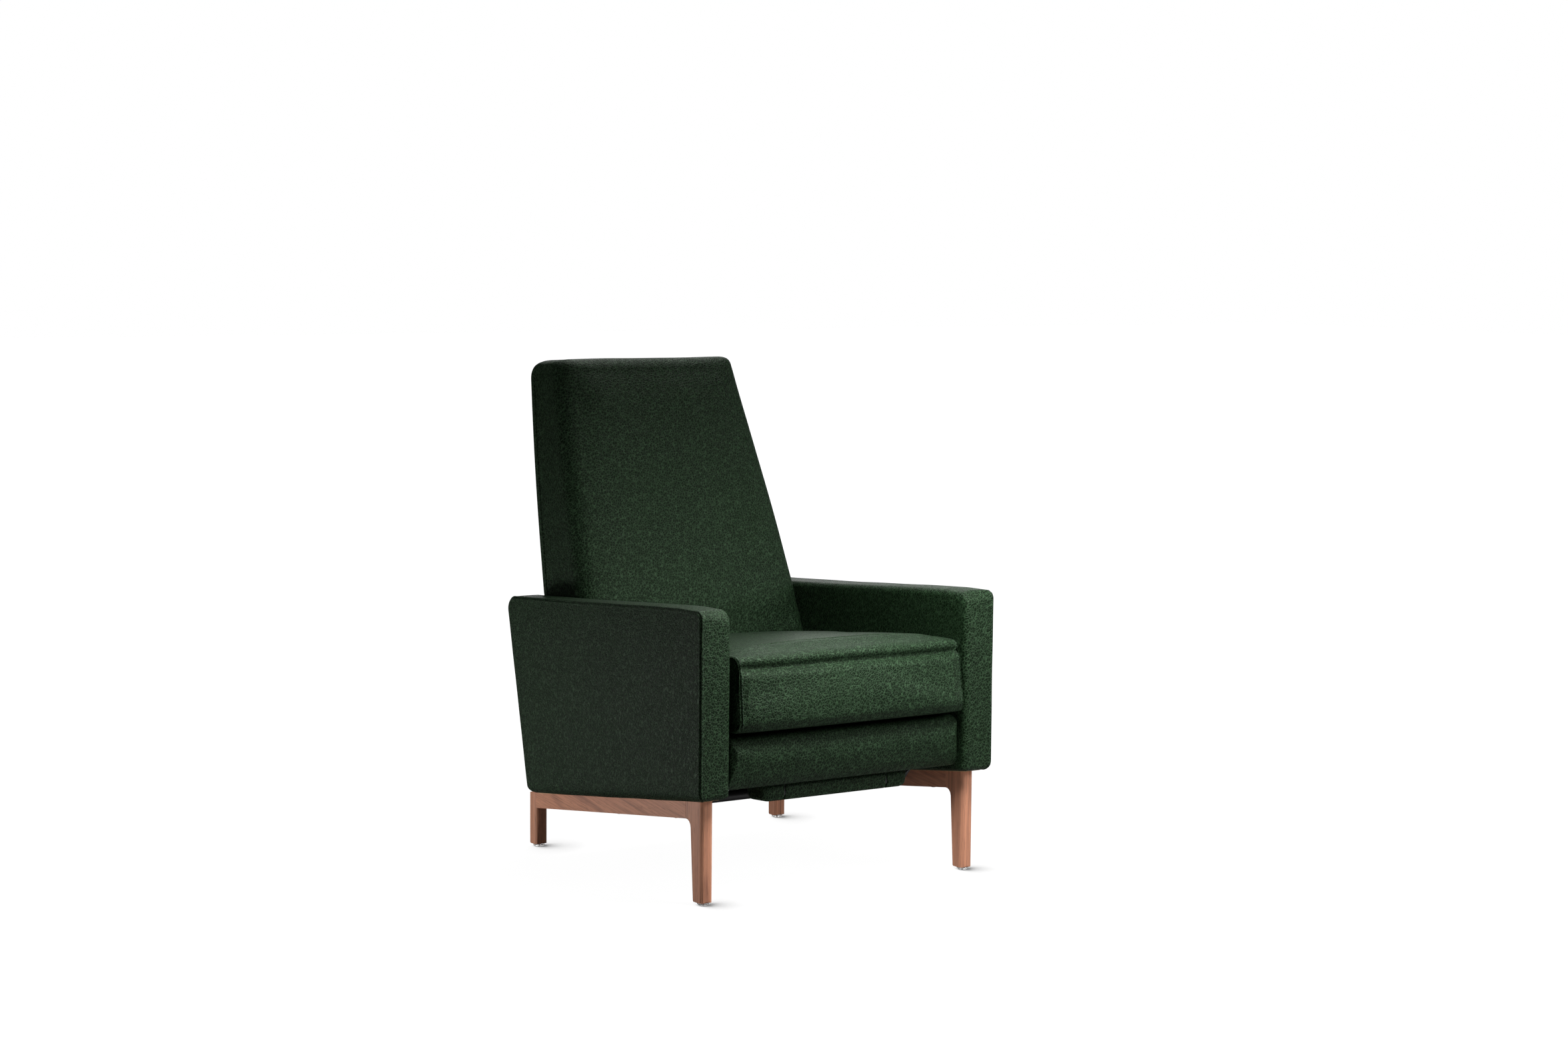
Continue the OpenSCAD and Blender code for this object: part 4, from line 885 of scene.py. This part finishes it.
# Back cushion and outside back.
# One tall wedge of foam over a sprung frame: the leather wraps the front, the top and the
# sides in one with a wide soft edge, and the outside back is a covered board.
BACK_HALF = 282.0
BACK_TAPER = 50.0
BACK_SWELL = 4.0
BACK_TOP = 1051.0
BACK_LOW = 226.0
ARM_LINE = 548.0
REAR_Y = 765.0
LEAN_REAR = math.tan(math.radians(16.6))
BACK_CORNERS = [
    (617.11, 226.0), (669.01, 226.0), (912.57, 1044.0), (787.08, 1054.0),
    (556.38, 450.0), (570.38, 404.0), (666.59, 392.0),
]
BACK_RADII = np.array([3.0, 8.0, 36.0, 26.0, 22.0, 14.0, 8.0])
BACK_MOVES = np.array([6.0, 12.0, 14.0, 36.0, 26.0, 8.0, 1.0])
BACK_EDGE = 40.0


def back_rear(z):
    """Depth of the rear face at a height: a straight lean."""
    return REAR_Y + (z - ARM_LINE) * LEAN_REAR


def back_half(z):
    """Half width: level up to the arms, then tapering with a slight swell."""
    t = np.maximum(0.0, z - ARM_LINE) / (BACK_TOP - ARM_LINE)
    return BACK_HALF - BACK_TAPER * t + BACK_SWELL * np.sin(np.pi * np.minimum(1.0, t))


def back_ring(s, dx, f, arc, runs):
    """Back profile at the share s of its half width less dx.

    It is moved in by the share f of the edge's insets, and its front above the seat is crowned
    by a parabola across the width.
    """
    radii = np.maximum(2.0, BACK_RADII * (1.0 - 0.35 * f))
    ring = outline(inset(BACK_CORNERS, BACK_MOVES * f), radii, arc, runs)
    y, z = ring[:, 0], ring[:, 1]
    half = back_half(z) - dx
    u = half * s / BACK_HALF
    front = np.where(y < back_rear(z) - 85.0, np.clip((z - 447.0) / 60.0, 0, 1), 0.0)
    return np.column_stack([s * half, y - 8.0 * (1.0 - u * u) * front, z])


def back_grid(middle, edge, cap, arc, runs):
    """Rings from the left side's middle over the band to the right side's.

    The edges are quarter turns, and the sides shrink towards a spine inside the rear face.
    """
    turn = np.linspace(0.0, 1.0, edge + 1)[1:] * math.pi / 2.0
    right = [(1.0, BACK_EDGE * (1.0 - math.sin(a)), 1.0 - math.cos(a), None) for a in turn]
    right += [(1.0, 0.0, 1.0, s) for s in cap]
    rows = [(-q, dx, f, s) for q, dx, f, s in reversed(right)]
    rows += [(q, BACK_EDGE * abs(q), 0.0, None) for q in middle] + right
    rings = []
    for q, dx, f, s in rows:
        ring = back_ring(q, dx, f, arc, runs)
        if s is not None:
            level = np.clip(ring[:, 2], 250.0, 1010.0)
            spine = np.column_stack([ring[:, 0], back_rear(level) - 25.0, level])
            ring = spine + (ring - spine) * s
            ring[:, 0] = math.copysign(1.0, q) * back_half(ring[:, 2])
        rings.append(ring)
    return np.stack(rings)


def back_cushion():
    """The back's rings: a coarse skin is puffed up and its push carried to the fine one.

    A flat step sinks the rear face for the outside back, and sine waves make slow swells.
    """
    coarse_runs, fine_runs = (3, 46, 5, 44, 3, 5, 9), (6, 120, 16, 128, 8, 12, 20)
    coarse_middle = np.linspace(-1.0, 1.0, 34)
    coarse = back_grid(coarse_middle, 4, COARSE_CAP, 3, coarse_runs)
    depth = back_rear(coarse[:, :, 2]) - coarse[:, :, 1]
    tight = 1.0 - np.minimum(rise(depth, 5.0, 45.0), rise(coarse[:, :, 2], 450.0, 520.0))
    push = puffed("back_bag", coarse, tight, 10.0)
    middle = np.linspace(-1.0, 1.0, 104)
    fine = back_grid(middle, 14, FINE_CAP, 9, fine_runs)
    push = between(
        push, order(coarse_middle, 4, len(COARSE_CAP)), shares(3, coarse_runs),
        order(middle, 14, len(FINE_CAP)), shares(9, fine_runs)[:-1],
    )
    rings = fine + push * [0.2, 0.9, 0.2]
    n = outward(rings)
    z = fine[:, :, 2]
    depth = back_rear(z) - fine[:, :, 1]
    rings = rings - n * (2.0 * rise(depth, 20.0, 60.0) * rise(z, 450.0, 520.0))[:, :, None]
    wall = back_half(z) - np.abs(fine[:, :, 0])
    panel = rise(-depth, -6.0, -2.0) * rise(wall, 8.0, 11.0) * rise(-z, -994.0, -990.0)
    rings[:, :, 1] -= 3.0 * panel
    swell = handwork(rings, 1.2, 170.0, 23) * rise(depth, 10.0, 60.0)
    return rings + n * swell[:, :, None]


back_cover = skin("back_leather", back_cushion(), hide, "back")
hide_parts("back_cushion")

PANEL_T = 5.0
PANEL_ROUND = 2.4
PANEL_MARGIN = 10.3
PANEL_BULGE = 2.2


def outside_back():
    """Board in leather: rounded thin rings that rise with the back's lean and narrow with it.

    Its top and bottom ease in by quarter circles, and its rear face bulges by the square root
    of a parabola across and of a sine upwards.
    """
    z0, z1 = BACK_LOW + 2.0, BACK_TOP - 60.0
    height = z1 - z0
    foot = np.array([0.0, 0.4, 1.2, PANEL_ROUND])
    levels = np.concatenate([foot, np.linspace(4.0, height - 4.0, 90), height - foot[::-1]])
    near_end = (1.0 - np.minimum(levels, height - levels) / PANEL_ROUND).clip(0, 1)
    ease = 1.0 - np.sqrt(np.clip(1.0 - near_end ** 2, 0, 1))
    rings = []
    for dz, e in zip(levels, ease):
        z = z0 + dz
        w = back_half(z) - PANEL_MARGIN - 1.6 * e
        half_t = PANEL_T / 2.0 * (1.0 - 0.8 * e)
        corners = [(-w, -half_t), (w, -half_t), (w, half_t), (-w, half_t)]
        face = outline(corners, [min(2.0, half_t * 0.9)] * 4, 4, (90, 2, 90, 2))
        upwards = np.sin(np.pi * np.clip(dz / height, 0, 1)) ** 0.5
        bulge = PANEL_BULGE * (1.0 - (face[:, 0] / w) ** 2) ** 0.5 * upwards
        y = back_rear(z) - PANEL_T / 2.0 + face[:, 1] + np.where(face[:, 1] > 0, bulge, 0.0)
        rings.append(np.column_stack([face[:, 0], y, np.full(len(face), z)]))
    return np.stack(rings)


panel = skin("outside_back_leather", outside_back(), hide, "back")
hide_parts("outside_back_panel")

# Footrest pad.
# Leather over foam on a board: the top and the ends roll over and meet in a mitred corner,
# and the lower edge ends in a thin raised lip.
PAD_HALF = 283.0
PAD_Z0 = 228.0
PAD_Z1 = 335.0
PAD_T = 46.0
PAD_LEAN = 24.0
PAD_END_W = 26.0
PAD_END_BACK = 24.0
PAD_MITRE = 2.5


def pad_ring(x, arc, runs):
    """Pad profile at width x.

    The front leans back downwards by a square. At each end a quarter circle sets it back, and
    the deeper of that and the profile counts, with a smooth maximum at the mitre.
    """
    depth = PAD_HALF - abs(x)
    end = PAD_END_BACK * (1.0 - np.sqrt(1.0 - np.clip(1.0 - depth / PAD_END_W, 0, 1) ** 2))
    lower = 4.5 * np.clip(1.0 - depth / 9.0, 0, 1) ** 2
    low, high = PAD_Z0 + lower, PAD_Z1 - lower
    corners = [(0.0, low), (PAD_T, low), (PAD_T, high), (4.0, high - 3.0)]
    ring = outline(corners, [7.0, 3.0, 3.0, 38.0], arc, runs)
    lean = PAD_LEAN * np.clip((308.0 - ring[:, 1]) / 80.0, 0, 1) ** 2
    y = ring[:, 0] + lean * (1.0 - ring[:, 0] / PAD_T)
    gap = y - end
    y = end + (gap + np.sqrt(gap * gap + PAD_MITRE * PAD_MITRE)) / 2.0
    y -= PAD_MITRE / 2.0 * np.exp(-np.abs(gap) / PAD_MITRE)
    y = np.minimum(y, PAD_T)
    return np.column_stack([np.full(len(ring), x), y, ring[:, 1]])


def closed_ends(rings, sizes):
    """Rings with copies of the first and the last one that shrink to their middles at the ends."""
    first, last = rings[0].mean(0), rings[-1].mean(0)
    head = [first + (rings[0] - first) * s for s in reversed(sizes)]
    tail = [last + (rings[-1] - last) * s for s in sizes]
    return np.stack(head + rings + tail)


def pad_cushion():
    """The pad's rings, puffed up every second one, with the lip along its lower edge.

    The lip is a raised bell curve with a sunk one above it.
    """
    arc, runs = 10, (12, 24, 12, 30)
    reach = PAD_HALF - 40.0
    near = 40.0 * (np.linspace(1.0, 0.0, 26)[1:] ** 1.5)
    xs = np.concatenate([np.linspace(-reach, reach, 110), PAD_HALF - near])
    xs = np.unique(np.round(np.concatenate([xs, near - PAD_HALF]), 4))
    rings = closed_ends([pad_ring(x, arc, runs) for x in xs], (0.86, 0.7, 0.5, 0.3, 0.1))
    x, y, z = rings[:, :, 0], rings[:, :, 1], rings[:, :, 2]
    push = puffed("footrest_bag", rings[::2], rise(y, 20.0, 40.0)[::2], 7.0)
    across, around = np.arange(len(rings)), np.arange(rings.shape[1] + 1)
    filled = between(push, across[::2], around, across, around[:-1])
    n = outward(rings)
    rings = rings + filled * [0.5, 0.8, 0.35]
    face = rise(-y, -20.0, -6.0)
    rings = rings - n * (2.2 * face)[:, :, None]
    lip = (1.3 * ridge(z - 231.0, 2.4) - 1.2 * ridge(z - 236.5, 2.2)) * face
    lip = lip * rise(PAD_HALF - np.abs(x), 4.0, 16.0)
    swell = handwork(rings, 0.9, 120.0, 31) * face
    return rings + n * (lip + swell)[:, :, None]


pad_cover = skin("footrest_leather", pad_cushion(), hide, "footrest")
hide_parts("footrest_pad")

# Flip-out pad.
# A narrow board wrapped in the same leather over thin foam, folded behind the footrest at
# rest so that only its lower edge shows below it.
FLIP_HALF = 180.0
FLIP_Z0 = 186.0
FLIP_Z1 = 296.0
FLIP_Y0 = 64.85
FLIP_Y1 = 115.0
NOSE_Y = 47.0
NOSE_Z0 = 190.0
NOSE_Z1 = 224.0
FLIP_END_R = 20.0
SLOT = (124.2, 128.0)


def flip_cover():
    """Rings of a board with a rolled lower front edge.

    The ends are rounded off by quarter circles, the roll is cut back at the hinge plates, and
    the rear face bulges by a parabola across.
    """
    reach = FLIP_HALF - FLIP_END_R
    near = FLIP_END_R * (1.0 - np.sin(np.linspace(0.0, math.pi / 2.0, 12)[1:]))
    slots = [SLOT[0] - 0.3, SLOT[0], SLOT[1], SLOT[1] + 0.3]
    xs = np.concatenate([FLIP_HALF - near, np.linspace(0.0, reach, 40), slots])
    xs = np.unique(np.round(np.concatenate([-xs, xs]), 4))
    rings = []
    for x in xs:
        t = min(1.0, max(0.0, 1.0 - (FLIP_HALF - abs(x)) / FLIP_END_R))
        e = 1.0 - math.sqrt(1.0 - t * t)
        corners = inset(
            [
                (NOSE_Y + 4.0, NOSE_Z0), (FLIP_Y1, FLIP_Z0), (FLIP_Y1, FLIP_Z1),
                (FLIP_Y0, FLIP_Z1), (FLIP_Y0, NOSE_Z1 + 3.0), (NOSE_Y, NOSE_Z1),
            ],
            [10.0 * e, 14.0 * e, 11.0 * e, 0.0, 0.0, 10.0 * e],
        )
        ring = outline(corners, [8.0, 12.0, 12.0, 3.0, 1.5, 8.0], 8, (16, 20, 12, 12, 5, 10))
        if SLOT[0] <= abs(x) <= SLOT[1]:
            cut_back = FLIP_Y0 - 0.02 * (FLIP_Y0 - ring[:, 0])
            ring[:, 0] = np.where(ring[:, 0] < FLIP_Y0, cut_back, ring[:, 0])
        rings.append(np.column_stack([np.full(len(ring), x), ring]))
    rings = closed_ends(rings, (0.8, 0.55, 0.3, 0.1))
    y = rings[:, :, 1]
    n = outward(rings)
    middle = 1.0 - (rings[:, :, 0] / FLIP_HALF) ** 2
    full = 3.0 * rise(y, 100.0, 114.0) * middle
    return rings + n * (full + handwork(rings, 0.4, 90.0, 41) * rise(y, 70.0, 84.0))[:, :, None]


flip = skin("flip_out_leather", flip_cover(), hide, "flip_out_pad")
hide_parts("flip_pad")

# Camera, floor and studio light.
# The camera stands to the front left of the chair, a little above the seat, and the room
# is a white sweep lit by eight soft lamps: three in front and above, two behind and three
# at the sides.
YAW, PITCH, ROLL = 0.5985280016896898, 0.09510220651294533, 0.009138721020324548
EYE = (-3492.58, -4874.15, 1320.15)
FOCAL_PX = 4508.880981739496
PHOTO_W = 2353.0
SENSOR = 36.0

ahead = np.array([math.sin(YAW) * math.cos(PITCH), math.cos(YAW) * math.cos(PITCH), -math.sin(PITCH)])
level = np.array([math.cos(YAW), -math.sin(YAW), 0.0])
upright = np.cross(level, ahead)
right = math.cos(ROLL) * level + math.sin(ROLL) * upright
upward = math.cos(ROLL) * upright - math.sin(ROLL) * level
lens = bpy.data.cameras.new("camera")
lens.sensor_width = SENSOR
lens.sensor_fit = "HORIZONTAL"
lens.lens = FOCAL_PX * SENSOR / PHOTO_W
lens.clip_end = 100.0
camera = bpy.data.objects.new("camera", lens)
bpy.context.scene.collection.objects.link(camera)
pose = np.eye(4)
pose[:3, 0], pose[:3, 1], pose[:3, 2], pose[:3, 3] = right, upward, -ahead, metres(EYE)
camera.matrix_world = Matrix(pose.tolist())
bpy.context.scene.camera = camera


def softbox(name, place, aim, size, power):
    """Square area lamp that faces a point."""
    light = bpy.data.lights.new(name, "AREA")
    light.shape = "RECTANGLE"
    light.size, light.size_y = size
    light.energy = power
    lamp = bpy.data.objects.new(name, light)
    bpy.context.scene.collection.objects.link(lamp)
    back = unit(np.array(place) - np.array(aim))
    side = unit(np.cross([0.0, 0.0, 1.0], back))
    pose = np.eye(4)
    pose[:3, 0], pose[:3, 1], pose[:3, 2], pose[:3, 3] = side, np.cross(back, side), back, place
    lamp.matrix_world = Matrix(pose.tolist())
    lamp.visible_camera = False


softbox("near_front_light", (0.06, -0.8, 1.1), (0.04, -0.82, 0.0), (0.5, 0.4), 17.5)
softbox("right_front_light", (1.2, -1.6, 1.0), (0.3, -0.7, 0.0), (0.8, 0.5), 15.5)
softbox("top_light", (0.6, 0.9, 2.8), (0.0, 0.0, 0.5), (1.4, 1.2), 37.0)
softbox("rear_light", (1.6, 2.6, 2.2), (0.0, 0.0, 0.6), (1.4, 1.0), 10.0)
softbox("rear_low_light", (2.3, 3.2, 0.95), (0.0, 0.0, 0.5), (2.0, 1.0), 12.0)
softbox("right_light", (3.0, -0.3, 0.8), (0.2, 0.0, 0.5), (1.2, 0.9), 9.0)
softbox("low_left_light", (-1.4, 0.7, 0.14), (-0.36, 0.1, 0.06), (0.8, 0.2), 6.5)
softbox("left_light", (-3.6, 1.5, 0.5), (-0.3, 0.2, 0.5), (1.0, 0.3), 6.0)

SWEEP_HALF = 30.0
floor_mesh = bpy.data.meshes.new("floor")
floor_corners = [(x * SWEEP_HALF, y * SWEEP_HALF, 0.0) for x, y in ((-1, -1), (1, -1), (1, 1), (-1, 1))]
floor_mesh.from_pydata(floor_corners, [], [(0, 1, 2, 3)])
floor = bpy.data.objects.new("floor", floor_mesh)
bpy.context.scene.collection.objects.link(floor)
sweep = Finish("white_sweep")
rays = sweep.tree.nodes.new("ShaderNodeLightPath")
seen = Wire(sweep.tree, rays.outputs["Is Camera Ray"])
through = Wire(sweep.tree, rays.outputs["Is Transmission Ray"])
floor_tone = sweep.mix(seen, (0.30, 0.30, 0.30), (0.08, 0.08, 0.08))
sweep.set(Base_Color=floor_tone, Roughness=0.9, Specular_IOR_Level=0.0, Emission_Color=(1.0, 1.0, 1.0))
reach = sweep.node("VectorMath", {"operation": "LENGTH"}, {0: sweep.place()}, out=1)
from_left = sweep.node("CombineXYZ", inputs={"X": -0.74, "Y": 0.50, "Z": 0.45})
open_sky = sweep.node("AmbientOcclusion", {"samples": 12}, {"Distance": 0.09, "Normal": from_left}, out=1)
shadow = ((1.0 - open_sky) ** 1.5 * 2.4).capped(0.8)
white = (0.98 + reach.fade(0.9, 2.2) * 0.1) * (1.0 - shadow)
sweep.put(sweep.surface.inputs["Emission Strength"], seen * white + through * 0.8)
floor_mesh.materials.append(sweep.material)

world = bpy.data.worlds.new("studio")
bpy.context.scene.world = world
world.use_nodes = True
tree = world.node_tree
rays = tree.nodes.new("ShaderNodeLightPath")
seen = Wire(tree, rays.outputs["Is Camera Ray"])
mirrored = Wire(tree, rays.outputs["Is Glossy Ray"])
through = Wire(tree, rays.outputs["Is Transmission Ray"])
visible = (seen + through).capped(1.0)
strength = visible + (1.0 - visible) * (0.08 - mirrored * 0.05)
backdrop = tree.nodes["Background"]
backdrop.inputs["Color"].default_value = (1.0, 1.0, 1.0, 1.0)
tree.links.new(strength.socket, backdrop.inputs["Strength"])

bpy.context.scene.view_settings.view_transform = "Standard"
